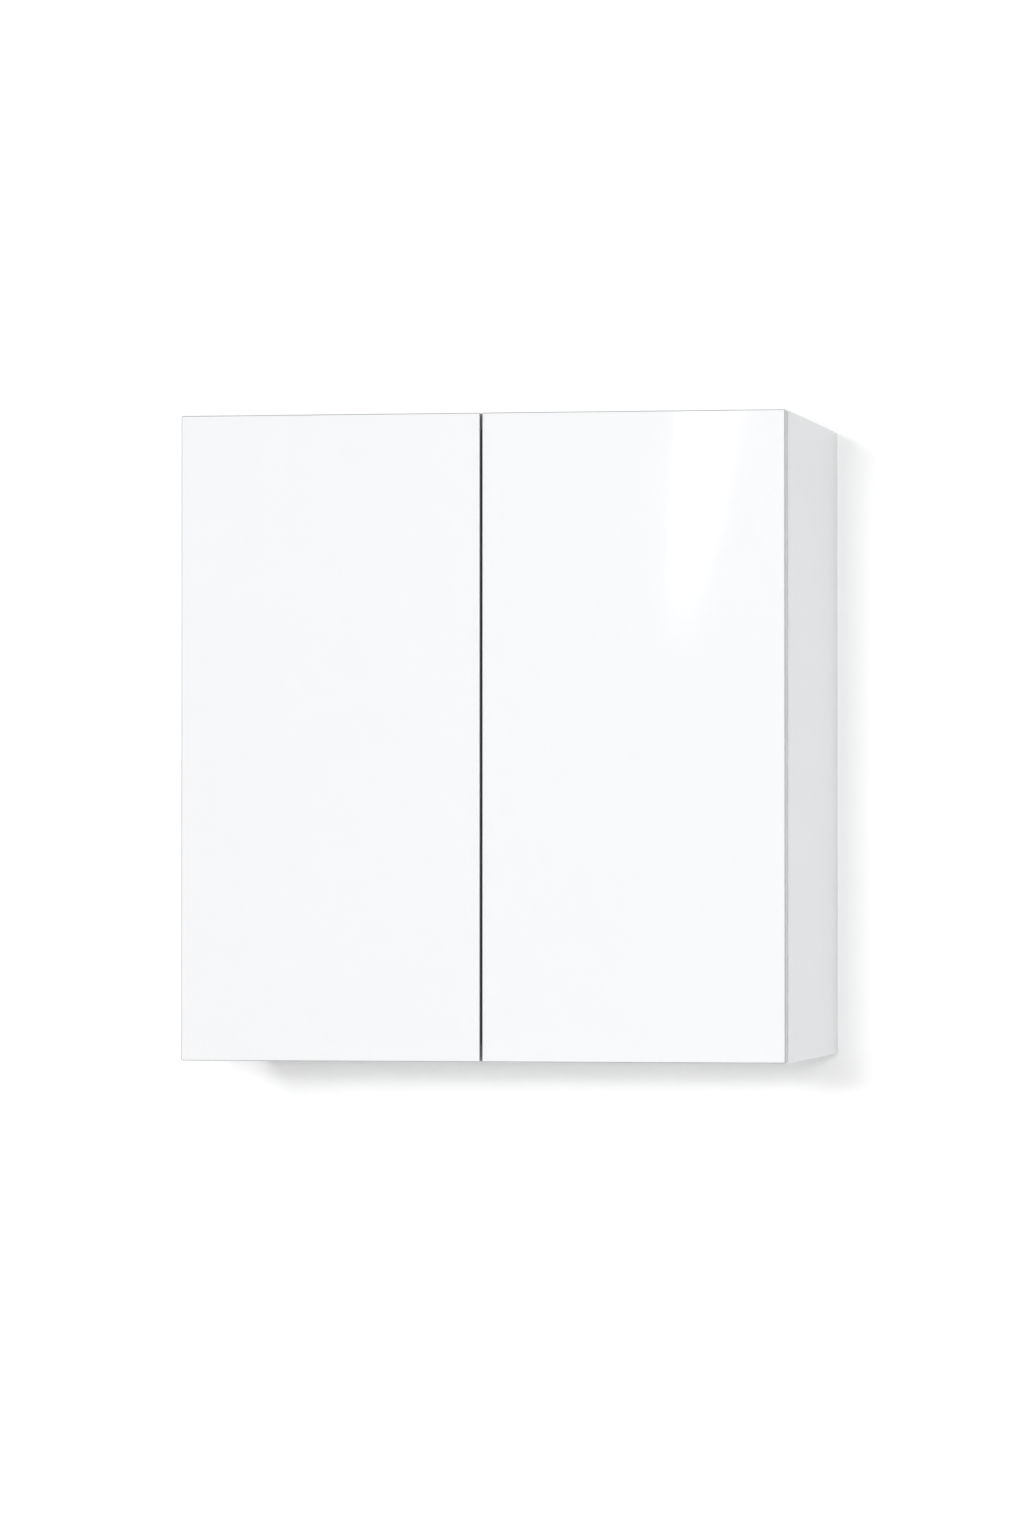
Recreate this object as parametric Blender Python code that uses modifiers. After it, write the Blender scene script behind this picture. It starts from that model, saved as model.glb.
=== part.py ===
"""Hanging wall cabinet with two handleless doors, built the way the real one comes apart.

Units are metres and +Z is up.  The doors face -Y and the wall plane is Y = 0.  The origin is
the centre of the hanging rail's back face, on the cabinet's centre line.  Everything is placed
from the cabinet's bottom centre on the wall plane, which an empty carries.
"""

import math

import bmesh
import bpy
from mathutils import Matrix, Vector

# ---------------------------------------------------------------- driving dimensions
WIDTH = 0.600                 # over the two side panels
HEIGHT = 0.635
CARCASS_DEPTH = 0.370         # wall plane to the side panels' front edges
PANEL = 0.016                 # melamine-faced board of the carcass and shelves
DOOR_THICKNESS = 0.018
DOOR_GAP = 0.003              # between the carcass front and a closed door's back
DOOR_REVEAL = 0.0005          # a door's outer edge stands in from the side panel's face
DOOR_END_REVEAL = 0.0005      # and its top and bottom edges from the carcass ends
CENTRE_GAP = 0.002            # between the two doors
BACK_THICKNESS = 0.003
BACK_RECESS = 0.018           # wall plane to the back panel, room for the hanging rail
GROOVE_DEPTH = 0.006          # of the grooves that hold the back panel
FIT = 0.0003                  # clearance between pieces that touch
PANEL_ARRIS = 0.0005          # small chamfers along board edges
DOOR_ARRIS = 0.0008

# shelves and their pegs
SHELF_COUNT = 2
SHELF_END_CLEARANCE = 0.0015
SHELF_SETBACK = 0.022         # from the carcass front
SHELF_BACK_CLEARANCE = 0.002
PEG_RADIUS = 0.0024
PEG_HOLE_RADIUS = 0.0028
PEG_HOLE_DEPTH = 0.010
PEG_IN_PANEL = 0.0085
PEG_OUT = 0.0085
PEG_COLLAR_RADIUS = 0.0036
PEG_COLLAR_LENGTH = 0.0008
PEG_FRONT_INSET = 0.037       # front row of holes, from the panel's front edge
PEG_BACK_INSET = 0.060        # back row, from the wall plane
HOLE_PITCH = 0.032
HOLES_BESIDE_SHELF = 2        # spare holes above and below each shelf position

# single-pivot cup hinges; plan sizes are from the side panel's outer face and its front edge
HINGE_INSET = 0.100           # hinge centre, from the cabinet's top or bottom
PIVOT_U = 0.0080              # hinge pin, inward from the side panel's outer face
PIVOT_V = -0.0130             # hinge pin, in front of the carcass
PIN_RADIUS = 0.00090
PIN_HOLE_RADIUS = 0.00098
CUP_RADIUS = 0.0172
CUP_CENTRE = 0.0210           # from the door's outer edge
CUP_DEPTH = 0.0136            # below the door's back
CUP_WALL = 0.0008
CUP_BORE_RADIUS = 0.0176
CUP_BORE_DEPTH = 0.0140
FLANGE_THICKNESS = 0.0012
FLANGE_RADIUS = 0.0188
FLANGE_SCREW_SPACING = 0.045
FLANGE_SCREW_OFFSET = 0.0055  # screws, further from the door's outer edge than the cup's centre
FLANGE_END_RADIUS = 0.0065
SCREW_HOLE_RADIUS = 0.0021
EAR_NEAR = 0.0044             # the two ears that hold the pin, from the hinge's centre
EAR_FAR = 0.0064
EYE_RADIUS = 0.00195
NECK_HALF_WIDTH = 0.0040
ARM_HALF_WIDTH = 0.0066
ARM_HEIGHT = 0.0094           # off the mounting plate
ARM_LENGTH = 0.056            # behind the carcass front
PLATE_THICKNESS = 0.0025
PLATE_HOLE_INSET = 0.037      # mounting plate's screws, from the panel's front edge
PLATE_HOLE_SPACING = 0.032
ARM_SCREW_SETBACK = 0.008     # arm's fixing screw, behind the plate's screws

# push-to-open latches
LATCH_OFFSET = 0.040          # latch centre, from the cabinet's centre line
LATCH_WIDTH = 0.016
LATCH_HEIGHT = 0.014
LATCH_LENGTH = 0.068
LATCH_SETBACK = 0.001         # housing's front, behind the carcass front
PLUNGER_RADIUS = 0.0040
PLUNGER_BORE_RADIUS = 0.0045
PLUNGER_LENGTH = 0.046
PLUNGER_TIP_RADIUS = 0.0052
PLUNGER_TIP_LENGTH = 0.0016
STRIKE_RADIUS = 0.0090
STRIKE_THICKNESS = 0.0008

# hanging hardware
RAIL_END_GAP = 0.006          # between each end of the rail and the side panel
RAIL_BELOW_TOP = 0.050        # centre of the rail's flat, below the cabinet's top
RAIL_THICKNESS = 0.0015
RAIL_FLAT = 0.024             # height of the part that lies on the wall
RAIL_LIP = 0.012              # height from the flat up to the edge that the hooks hang on
RAIL_JOG = 0.006              # the lip stands this far off the wall
RAIL_HOLE_RADIUS = 0.0030
RAIL_HOLE_STEP = 0.080
HANGER_WIDTH = 0.024
HANGER_DEPTH = 0.050
HANGER_HEIGHT = 0.052
HANGER_WALL = 0.0020
HOOK_THICKNESS = 0.0025
NOTCH_WIDTH = 0.016           # opening in the back panel for each hook
NOTCH_HEIGHT = 0.036

# cam fasteners
CAM_RADIUS = 0.0073
CAM_BORE_RADIUS = 0.0077
CAM_DEPTH = 0.0120
CAM_BORE_DEPTH = 0.0126
CAM_END_INSET = 0.024         # from the end of the board
CAM_REAR_INSET = 0.050        # from the carcass's rear edge
CAM_FRONT_INSET = 0.060       # from the carcass's front edge

# shares used by several pieces
HALF_WIDTH = WIDTH / 2
INNER_HALF = HALF_WIDTH - PANEL
BACK_FRONT_Y = -BACK_RECESS - BACK_THICKNESS
DOOR_BACK_Y = -CARCASS_DEPTH - DOOR_GAP
DOOR_FRONT_Y = DOOR_BACK_Y - DOOR_THICKNESS
RAIL_Z = HEIGHT - RAIL_BELOW_TOP
RAIL_LENGTH = 2 * (INNER_HALF - RAIL_END_GAP)
CAM_DEPTHS = (CAM_REAR_INSET, CARCASS_DEPTH - CAM_FRONT_INSET)
SIDES = (("left", -1.0), ("right", 1.0))

WHITE_BOARD = ((0.86, 0.86, 0.85, 1.0), 0.45, 0.0)
WHITE_GLOSS = ((0.90, 0.90, 0.89, 1.0), 0.12, 0.0)
HARDBOARD = ((0.82, 0.82, 0.80, 1.0), 0.60, 0.0)
NICKEL = ((0.62, 0.62, 0.60, 1.0), 0.28, 1.0)
ZINC = ((0.52, 0.54, 0.56, 1.0), 0.40, 1.0)
WHITE_PLASTIC = ((0.84, 0.84, 0.82, 1.0), 0.40, 0.0)
GREY_PLASTIC = ((0.45, 0.46, 0.47, 1.0), 0.50, 0.0)


# ---------------------------------------------------------------- helpers
def clear_scene():
    for obj in list(bpy.data.objects):
        bpy.data.objects.remove(obj, do_unlink=True)
    for group in list(bpy.data.collections):
        bpy.data.collections.remove(group)


def make_collection(name, hidden=False):
    group = bpy.data.collections.new(name)
    bpy.context.scene.collection.children.link(group)
    group.hide_render = hidden
    return group


def make_material(name, look):
    colour, roughness, metallic = look
    material = bpy.data.materials.new(name + "_material")
    material.use_nodes = True
    shader = next(n for n in material.node_tree.nodes if n.type == "BSDF_PRINCIPLED")
    shader.inputs["Base Color"].default_value = colour
    shader.inputs["Roughness"].default_value = roughness
    shader.inputs["Metallic"].default_value = metallic
    return material


def add_box(mesh, low, high):
    """A closed box between two corners."""
    size = [abs(high[i] - low[i]) for i in range(3)]
    centre = [(high[i] + low[i]) / 2 for i in range(3)]
    matrix = Matrix.Translation(centre) @ Matrix.Diagonal((*size, 1.0))
    bmesh.ops.create_cube(mesh, size=1.0, matrix=matrix)


def axis_matrix(centre, axis):
    """Takes local Z to the named world axis at a centre."""
    turn = Vector((0, 0, 1)).rotation_difference(Vector(axis))
    return Matrix.Translation(centre) @ turn.to_matrix().to_4x4()


def add_turned(mesh, profile, centre, axis, segments=24):
    """A closed turned shape: rings at (radius, height) pairs, capped at both ends."""
    matrix = axis_matrix(centre, axis)
    rings = []
    for radius, height in profile:
        ring = []
        for i in range(segments):
            angle = 2 * math.pi * (i + 0.5) / segments
            point = Vector((radius * math.cos(angle), radius * math.sin(angle), height))
            ring.append(mesh.verts.new(matrix @ point))
        rings.append(ring)
    for lower, upper in zip(rings, rings[1:]):
        for i in range(segments):
            j = (i + 1) % segments
            mesh.faces.new((lower[i], lower[j], upper[j], upper[i]))
    mesh.faces.new(list(reversed(rings[0])))
    mesh.faces.new(rings[-1])


def add_cylinder(mesh, centre, axis, radius, length, segments=20):
    """A cylinder starting at the centre and running along the axis."""
    add_turned(mesh, ((radius, 0.0), (radius, length)), centre, axis, segments)


def object_from(mesh, name, group, look=None):
    bmesh.ops.recalc_face_normals(mesh, faces=mesh.faces[:])
    data = bpy.data.meshes.new(name)
    mesh.to_mesh(data)
    mesh.free()
    obj = bpy.data.objects.new(name, data)
    group.objects.link(obj)
    if look is not None:
        data.materials.append(make_material(name, look))
    return obj


def solid_from_outline(name, loops, matrix, thickness, group, look):
    """A flat plate from closed 2D loops, the first one outside, centred on its own plane."""
    curve = bpy.data.curves.new(name + "_outline", "CURVE")
    curve.dimensions = "2D"
    curve.fill_mode = "BOTH"
    curve.extrude = thickness / 2
    for loop in loops:
        spline = curve.splines.new("POLY")
        spline.points.add(len(loop) - 1)
        for point, (u, v) in zip(spline.points, loop):
            point.co = (u, v, 0.0, 1.0)
        spline.use_cyclic_u = True
    drawn = bpy.data.objects.new(name + "_outline", curve)
    group.objects.link(drawn)
    drawn.matrix_world = matrix
    bpy.context.view_layer.update()
    data = bpy.data.meshes.new_from_object(drawn.evaluated_get(bpy.context.evaluated_depsgraph_get()))
    data.transform(drawn.matrix_world)
    bpy.data.objects.remove(drawn, do_unlink=True)
    bpy.data.curves.remove(curve)
    mesh = bmesh.new()
    mesh.from_mesh(data)
    bpy.data.meshes.remove(data)
    bmesh.ops.remove_doubles(mesh, verts=mesh.verts[:], dist=1e-6)
    return object_from(mesh, name, group, look)


def arc(centre, radius, start, end, steps):
    """Points of an arc, angles in degrees, both ends included."""
    points = []
    for i in range(steps + 1):
        angle = math.radians(start + (end - start) * i / steps)
        points.append((centre[0] + radius * math.cos(angle), centre[1] + radius * math.sin(angle)))
    return points


def chamfer(obj, width, segments=1):
    modifier = obj.modifiers.new("arris", "BEVEL")
    modifier.width = width
    modifier.segments = segments
    modifier.limit_method = "ANGLE"
    modifier.angle_limit = math.radians(40)
    modifier.use_clamp_overlap = True


def cut_away(obj, build_cutter, cutters):
    """Takes one joined cutter out of an object; build_cutter fills its mesh."""
    mesh = bmesh.new()
    build_cutter(mesh)
    cutter = object_from(mesh, obj.name + "_cutter_" + str(len(obj.modifiers)), cutters)
    cutter.display_type = "WIRE"
    cutter.hide_render = True
    modifier = obj.modifiers.new("cut", "BOOLEAN")
    modifier.operation = "DIFFERENCE"
    modifier.solver = "EXACT"
    modifier.object = cutter
    return cutter


def put_origin(obj, point):
    """Moves an object's origin to a point without moving its shape."""
    obj.data.transform(Matrix.Translation([-c for c in point]))
    obj.location = point


class Build:
    """The collections and the frame that every piece hangs from."""

    def __init__(self):
        clear_scene()
        self.pieces = make_collection("wall_cabinet")
        self.cutters = make_collection("wall_cabinet_cutters", hidden=True)
        self.frame = bpy.data.objects.new("cabinet_frame", None)
        self.frame.location = (0.0, 0.0, -RAIL_Z)
        self.frame.empty_display_size = 0.05
        self.pieces.objects.link(self.frame)

    def hang(self, obj):
        obj.parent = self.frame
        return obj

    def box(self, name, low, high, look, arris=0.0):
        mesh = bmesh.new()
        add_box(mesh, low, high)
        obj = self.hang(object_from(mesh, name, self.pieces, look))
        if arris:
            chamfer(obj, arris)
        return obj

    def turned(self, name, profile, centre, axis, look, segments=24):
        mesh = bmesh.new()
        add_turned(mesh, profile, centre, axis, segments)
        return self.hang(object_from(mesh, name, self.pieces, look))

    def plate(self, name, loops, matrix, thickness, look):
        return self.hang(solid_from_outline(name, loops, matrix, thickness, self.pieces, look))

    def cut(self, obj, build_cutter):
        self.hang(cut_away(obj, build_cutter, self.cutters))
        return obj


# ---------------------------------------------------------------- carcass
def shelf_levels():
    """Undersides of the shelves, on the hole grid and centred in the cabinet."""
    step = 6 * HOLE_PITCH
    middle = HEIGHT / 2 - PANEL / 2
    return [middle + (i - (SHELF_COUNT - 1) / 2) * step for i in range(SHELF_COUNT)]


def peg_rows():
    """Heights of the holes in each column."""
    levels = shelf_levels()
    start = levels[0] - FIT - PEG_RADIUS - HOLES_BESIDE_SHELF * HOLE_PITCH
    count = round((levels[-1] - levels[0]) / HOLE_PITCH) + 2 * HOLES_BESIDE_SHELF + 1
    return [start + i * HOLE_PITCH for i in range(count)]


def peg_columns():
    return (-CARCASS_DEPTH + PEG_FRONT_INSET, -PEG_BACK_INSET)


def build_side_panel(build, side_name, side):
    inner = side * INNER_HALF
    outer = side * HALF_WIDTH
    panel = build.box("side_panel_" + side_name, (min(inner, outer), -CARCASS_DEPTH, 0.0),
                      (max(inner, outer), 0.0, HEIGHT), WHITE_BOARD, PANEL_ARRIS)

    def cutter(mesh):
        groove_end = inner + side * GROOVE_DEPTH
        open_end = inner - side * 0.004
        add_box(mesh, (min(groove_end, open_end), BACK_FRONT_Y - FIT, -0.01),
                (max(groove_end, open_end), -BACK_RECESS + FIT, HEIGHT + 0.01))
        for y in peg_columns():
            for z in peg_rows():
                add_cylinder(mesh, (inner - side * 0.002, y, z), (side, 0, 0),
                             PEG_HOLE_RADIUS, PEG_HOLE_DEPTH + 0.002, 10)

    return build.cut(panel, cutter)


def cam_places():
    """Plan positions of the cam fasteners in the top and bottom panels."""
    return [(side * (INNER_HALF - CAM_END_INSET), -inset)
            for _, side in SIDES for inset in CAM_DEPTHS]


def build_level_panel(build, name, low_z, groove_face, groove_way):
    """The top or bottom panel, between the sides and the full depth of the carcass."""
    end = INNER_HALF - FIT
    panel = build.box(name, (-end, -CARCASS_DEPTH, low_z), (end, 0.0, low_z + PANEL),
                      WHITE_BOARD, PANEL_ARRIS)
    cam_face = low_z + PANEL

    def cutter(mesh):
        inside = groove_face + groove_way * GROOVE_DEPTH
        outside = groove_face - groove_way * 0.004
        add_box(mesh, (-HALF_WIDTH, BACK_FRONT_Y - FIT, min(inside, outside)),
                (HALF_WIDTH, -BACK_RECESS + FIT, max(inside, outside)))

    def bores(mesh):
        for x, y in cam_places():
            add_cylinder(mesh, (x, y, cam_face + 0.002), (0, 0, -1),
                         CAM_BORE_RADIUS, CAM_BORE_DEPTH + 0.002, 20)

    build.cut(panel, cutter)
    return build.cut(panel, bores)


def build_cams(build):
    names = ("left_rear", "left_front", "right_rear", "right_front")
    for level, face in (("bottom", PANEL), ("top", HEIGHT)):
        for name, (x, y) in zip(names, cam_places()):
            cam = build.turned("cam_lock_" + level + "_" + name,
                               ((CAM_RADIUS - 0.0006, -CAM_DEPTH - FIT), (CAM_RADIUS, -CAM_DEPTH),
                                (CAM_RADIUS, -0.0008), (CAM_RADIUS - 0.0005, -FIT)),
                               (x, y, face), (0, 0, 1), ZINC, 20)

            def slots(mesh, x=x, y=y, face=face):
                add_box(mesh, (x - 0.0040, y - 0.0006, face - 0.0030), (x + 0.0040, y + 0.0006, face + 0.001))

            build.cut(cam, slots)


def hanger_centre(side):
    return side * (INNER_HALF - FIT - HANGER_WIDTH / 2)


def build_back_panel(build):
    edge = INNER_HALF + GROOVE_DEPTH - FIT
    low = PANEL - GROOVE_DEPTH + FIT
    high = HEIGHT - PANEL + GROOVE_DEPTH - FIT
    panel = build.box("back_panel", (-edge, BACK_FRONT_Y, low), (edge, -BACK_RECESS, high), HARDBOARD)

    def windows(mesh):
        for _, side in SIDES:
            x = hanger_centre(side)
            z = hook_bridge_level() - NOTCH_HEIGHT / 2 + 0.008
            add_box(mesh, (x - NOTCH_WIDTH / 2, BACK_FRONT_Y - 0.01, z - NOTCH_HEIGHT / 2),
                    (x + NOTCH_WIDTH / 2, -BACK_RECESS + 0.01, z + NOTCH_HEIGHT / 2))

    return build.cut(panel, windows)


def build_shelves(build):
    end = INNER_HALF - SHELF_END_CLEARANCE
    front = -CARCASS_DEPTH + SHELF_SETBACK
    rear = BACK_FRONT_Y - SHELF_BACK_CLEARANCE
    for name, z in zip(("lower", "upper"), shelf_levels()):
        build.box("shelf_" + name, (-end, front, z), (end, rear, z + PANEL), WHITE_BOARD, PANEL_ARRIS)


def build_pegs(build):
    """Turned pegs: a shank in the side panel, a collar against it and a stub under the shelf."""
    profile = ((PEG_RADIUS - 0.0005, -PEG_IN_PANEL), (PEG_RADIUS, -PEG_IN_PANEL + 0.0005), (PEG_RADIUS, FIT),
               (PEG_COLLAR_RADIUS, FIT), (PEG_COLLAR_RADIUS, FIT + PEG_COLLAR_LENGTH),
               (PEG_RADIUS, FIT + PEG_COLLAR_LENGTH), (PEG_RADIUS, PEG_OUT - 0.0005),
               (PEG_RADIUS - 0.0005, PEG_OUT))
    for level, z in zip(("lower", "upper"), shelf_levels()):
        for side_name, side in SIDES:
            for row, y in zip(("front", "rear"), peg_columns()):
                centre = (side * INNER_HALF, y, z - FIT - PEG_RADIUS)
                build.turned("shelf_pin_" + level + "_" + side_name + "_" + row, profile, centre,
                             (-side, 0, 0), NICKEL, 12)


# ---------------------------------------------------------------- hanging hardware
def lip_top():
    return RAIL_Z + RAIL_FLAT / 2 + RAIL_LIP


def hook_bridge_level():
    """Underside of the hooks where they rest on the rail's lip."""
    return lip_top() + FIT


def build_rail(build):
    """A strip bent in a Z: the flat lies on the wall and the lip stands off it, open at the top."""
    t = RAIL_THICKNESS
    flat_low = RAIL_Z - RAIL_FLAT / 2
    flat_high = RAIL_Z + RAIL_FLAT / 2
    outline = ((0.0, flat_low), (0.0, flat_high), (-RAIL_JOG, flat_high + 0.003), (-RAIL_JOG, lip_top()),
               (-RAIL_JOG - t, lip_top()), (-RAIL_JOG - t, flat_high + 0.0024), (-t, flat_high - 0.0006),
               (-t, flat_low))
    rail = build.plate("wall_rail", (outline,), plane_yz(0.0), RAIL_LENGTH, ZINC)

    def holes(mesh):
        count = int(RAIL_LENGTH / 2 / RAIL_HOLE_STEP)
        for i in range(-count, count):
            start = ((i + 0.5) * RAIL_HOLE_STEP, 0.002, RAIL_Z - 0.002)
            add_cylinder(mesh, start, (0, -1, 0), RAIL_HOLE_RADIUS, 0.006, 14)

    return build.cut(rail, holes)


def plane_yz(x):
    """Takes a drawing's (u, v) to (y, z) in the plane at x."""
    return Matrix(((0, 0, 1, x), (1, 0, 0, 0), (0, 1, 0, 0), (0, 0, 0, 1)))


def build_hanger(build, side_name, side):
    x = hanger_centre(side)
    top = HEIGHT - PANEL - FIT
    rear = BACK_FRONT_Y - FIT
    front = rear - HANGER_DEPTH
    housing = build.box("hanger_housing_" + side_name, (x - HANGER_WIDTH / 2, front, top - HANGER_HEIGHT),
                        (x + HANGER_WIDTH / 2, rear, top), WHITE_PLASTIC, 0.0012)
    bridge = hook_bridge_level()
    slot = HOOK_THICKNESS / 2 + FIT
    hook_low = top - HANGER_HEIGHT + 0.010
    hook_front = front + 0.008

    def pocket(mesh):
        low = (x - slot, hook_front - FIT, hook_low - FIT)
        add_box(mesh, low, (x + slot, rear + 0.004, bridge + 0.006 + FIT))

    def screw_wells(mesh):
        for z in (hook_low + 0.008, top - 0.014):
            add_cylinder(mesh, (x + side * 0.0065, front - 0.002, z), (0, 1, 0), 0.0038, 0.008, 16)

    build.cut(housing, pocket)
    build.cut(housing, screw_wells)
    finger_rear = -0.0020
    finger_front = -RAIL_JOG + 0.0006
    web = -BACK_RECESS + 0.004
    outline = ((hook_front, hook_low), (rear - 0.004, hook_low), (rear - 0.004, bridge - 0.012),
               (web, bridge - 0.006), (-RAIL_JOG - RAIL_THICKNESS - 0.001, bridge),
               (finger_front, bridge),
               (finger_front, bridge - 0.0075), (finger_rear, bridge - 0.0085),
               (finger_rear, bridge + 0.0045),
               (finger_rear - 0.0015, bridge + 0.006), (hook_front, bridge + 0.006))
    build.plate("hanger_hook_" + side_name, (outline,), plane_yz(x), HOOK_THICKNESS, ZINC)


# ---------------------------------------------------------------- doors and latches
def hinge_levels():
    return (("lower", HINGE_INSET), ("upper", HEIGHT - HINGE_INSET))


def door_outer_x(side):
    return side * (HALF_WIDTH - DOOR_REVEAL)


def build_door(build, side_name, side):
    outer = door_outer_x(side)
    inner = side * CENTRE_GAP / 2
    door = build.box("door_" + side_name, (min(outer, inner), DOOR_FRONT_Y, DOOR_END_REVEAL),
                     (max(outer, inner), DOOR_BACK_Y, HEIGHT - DOOR_END_REVEAL), WHITE_GLOSS, DOOR_ARRIS)

    def bores(mesh):
        for _, z in hinge_levels():
            add_cylinder(mesh, (outer - side * CUP_CENTRE, DOOR_BACK_Y + 0.002, z), (0, -1, 0),
                         CUP_BORE_RADIUS, CUP_BORE_DEPTH + 0.002, 40)

    return build.cut(door, bores)


def build_latch(build, side_name, side):
    x = side * LATCH_OFFSET
    top = HEIGHT - PANEL - FIT
    z = top - LATCH_HEIGHT / 2
    front = -CARCASS_DEPTH + LATCH_SETBACK
    housing = build.box("latch_housing_" + side_name, (x - LATCH_WIDTH / 2, front, top - LATCH_HEIGHT),
                        (x + LATCH_WIDTH / 2, front + LATCH_LENGTH, top), WHITE_PLASTIC, 0.0010)
    strike_back = DOOR_BACK_Y + FIT
    tip_front = strike_back + STRIKE_THICKNESS + FIT
    shank_front = tip_front + PLUNGER_TIP_LENGTH
    shank_rear = shank_front + PLUNGER_LENGTH

    def bore(mesh):
        add_cylinder(mesh, (x, front - 0.002, z), (0, 1, 0), PLUNGER_BORE_RADIUS,
                     shank_rear + 0.001 - front + 0.002, 20)

    build.cut(housing, bore)
    plunger = build.turned("latch_plunger_" + side_name,
                           ((PLUNGER_TIP_RADIUS - 0.0004, 0.0), (PLUNGER_TIP_RADIUS, 0.0004),
                            (PLUNGER_TIP_RADIUS, PLUNGER_TIP_LENGTH - 0.0004),
                            (PLUNGER_RADIUS, PLUNGER_TIP_LENGTH),
                            (PLUNGER_RADIUS, PLUNGER_TIP_LENGTH + PLUNGER_LENGTH - 0.0005),
                            (PLUNGER_RADIUS - 0.0005, PLUNGER_TIP_LENGTH + PLUNGER_LENGTH)),
                           (x, tip_front, z), (0, 1, 0), GREY_PLASTIC, 20)
    put_origin(plunger, (x, tip_front, z))
    build.turned("strike_plate_" + side_name,
                 ((STRIKE_RADIUS, 0.0), (STRIKE_RADIUS, STRIKE_THICKNESS - 0.0002),
                  (STRIKE_RADIUS - 0.0003, STRIKE_THICKNESS)),
                 (x, strike_back, z), (0, 1, 0), NICKEL, 28)


# ---------------------------------------------------------------- hinges
class HingeFrame:
    """Plan coordinates of one hinge: u inward from the side's outer face, v back from the
    carcass front edge, w up from the hinge's centre."""

    def __init__(self, side, z):
        self.side = side
        self.z = z

    def point(self, u, v, w=0.0):
        return (self.side * (HALF_WIDTH - u), -CARCASS_DEPTH + v, self.z + w)

    def box(self, mesh, low, high):
        a = self.point(*low)
        b = self.point(*high)
        add_box(mesh, [min(p, q) for p, q in zip(a, b)], [max(p, q) for p, q in zip(a, b)])

    def plan(self):
        """Takes a drawing's (u, v) to the horizontal plane through the hinge's centre."""
        return Matrix(((-self.side, 0, 0, self.side * HALF_WIDTH), (0, 1, 0, -CARCASS_DEPTH),
                       (0, 0, 1, self.z), (0, 0, 0, 1)))

    def face(self, v):
        """Takes a drawing's (u, w) to the plane parallel to the door at v."""
        return Matrix(((-self.side, 0, 0, self.side * HALF_WIDTH), (0, 0, 1, -CARCASS_DEPTH + v),
                       (0, 1, 0, self.z), (0, 0, 0, 1)))

    def flank(self, u):
        """Takes a drawing's (v, w) to the plane parallel to the side panel at u."""
        return Matrix(((0, 0, -self.side, self.side * (HALF_WIDTH - u)), (1, 0, 0, -CARCASS_DEPTH),
                       (0, 1, 0, self.z), (0, 0, 0, 1)))


def cup_u():
    return DOOR_REVEAL + CUP_CENTRE


def flange_outline():
    """Disc round the cup with a screw tab above and below it, as (u, w)."""
    u = cup_u()
    screw_u = u + FLANGE_SCREW_OFFSET
    tab = FLANGE_END_RADIUS
    disc = FLANGE_RADIUS
    screw_w = FLANGE_SCREW_SPACING / 2
    near = math.degrees(math.acos((screw_u + tab - u) / disc))
    far = math.degrees(math.acos((screw_u - tab - u) / disc))
    points = arc((u, 0.0), disc, near, -near, 10)
    points += arc((screw_u, -screw_w), tab, 0, -180, 10)
    points += arc((u, 0.0), disc, 360 - far, far, 18)
    points += arc((screw_u, screw_w), tab, 180, 0, 10)
    return points


def build_hinge_cup(build, name, frame):
    u = cup_u()
    back = -DOOR_GAP
    rim = back + FIT + FLANGE_THICKNESS
    centre = frame.point(u, rim)
    cup = build.turned("hinge_cup_" + name,
                       ((CUP_RADIUS - 0.0010, -CUP_DEPTH - FIT - FLANGE_THICKNESS),
                        (CUP_RADIUS, -CUP_DEPTH - FIT - FLANGE_THICKNESS + 0.0010), (CUP_RADIUS, -0.0002)),
                       centre, (0, 1, 0), NICKEL, 40)
    screw_u = u + FLANGE_SCREW_OFFSET
    holes = [arc((screw_u, way * FLANGE_SCREW_SPACING / 2), SCREW_HOLE_RADIUS, 0, 330, 11) for way in (-1, 1)]
    flange = build.plate("hinge_cup_" + name + "_flange", [flange_outline()] + holes,
                         frame.face(rim - FLANGE_THICKNESS / 2), FLANGE_THICKNESS, NICKEL)
    join(build, cup, flange, "UNION")
    floor = back - CUP_DEPTH + CUP_WALL

    def cavity(mesh):
        start = frame.point(u, rim + 0.002)
        add_cylinder(mesh, start, (0, -1, 0), CUP_RADIUS - CUP_WALL, rim + 0.002 - floor, 32)

    build.cut(cup, cavity)
    ears = bmesh.new()
    for way in (-1, 1):
        frame.box(ears, (PIVOT_U - 0.0023, floor - CUP_WALL / 2, way * EAR_NEAR),
                  (PIVOT_U + 0.0024, PIVOT_V + 0.0022, way * EAR_FAR))
    ear_piece = build.hang(object_from(ears, "hinge_cup_" + name + "_ears", build.pieces, NICKEL))
    join(build, cup, ear_piece, "UNION")

    def pin_hole(mesh):
        start = frame.point(PIVOT_U, PIVOT_V, -EAR_FAR - 0.001)
        add_cylinder(mesh, start, (0, 0, 1), PIN_HOLE_RADIUS, 2 * EAR_FAR + 0.002, 24)

    build.cut(cup, pin_hole)
    return cup


def join(build, target, other, operation):
    """Boolean with a piece that then counts as construction, not as part of the cabinet."""
    build.pieces.objects.unlink(other)
    build.cutters.objects.link(other)
    other.display_type = "WIRE"
    other.hide_render = True
    modifier = target.modifiers.new("join", "BOOLEAN")
    modifier.operation = operation
    modifier.solver = "EXACT"
    modifier.object = other


def build_hinge_pin(build, name, frame):
    length = EAR_FAR + 0.0004
    return build.turned("hinge_pin_" + name,
                        ((PIN_RADIUS - 0.0002, -length), (PIN_RADIUS, -length + 0.0002),
                         (PIN_RADIUS, length - 0.0002), (PIN_RADIUS - 0.0002, length)),
                        frame.point(PIVOT_U, PIVOT_V), (0, 0, 1), ZINC, 24)


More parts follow.
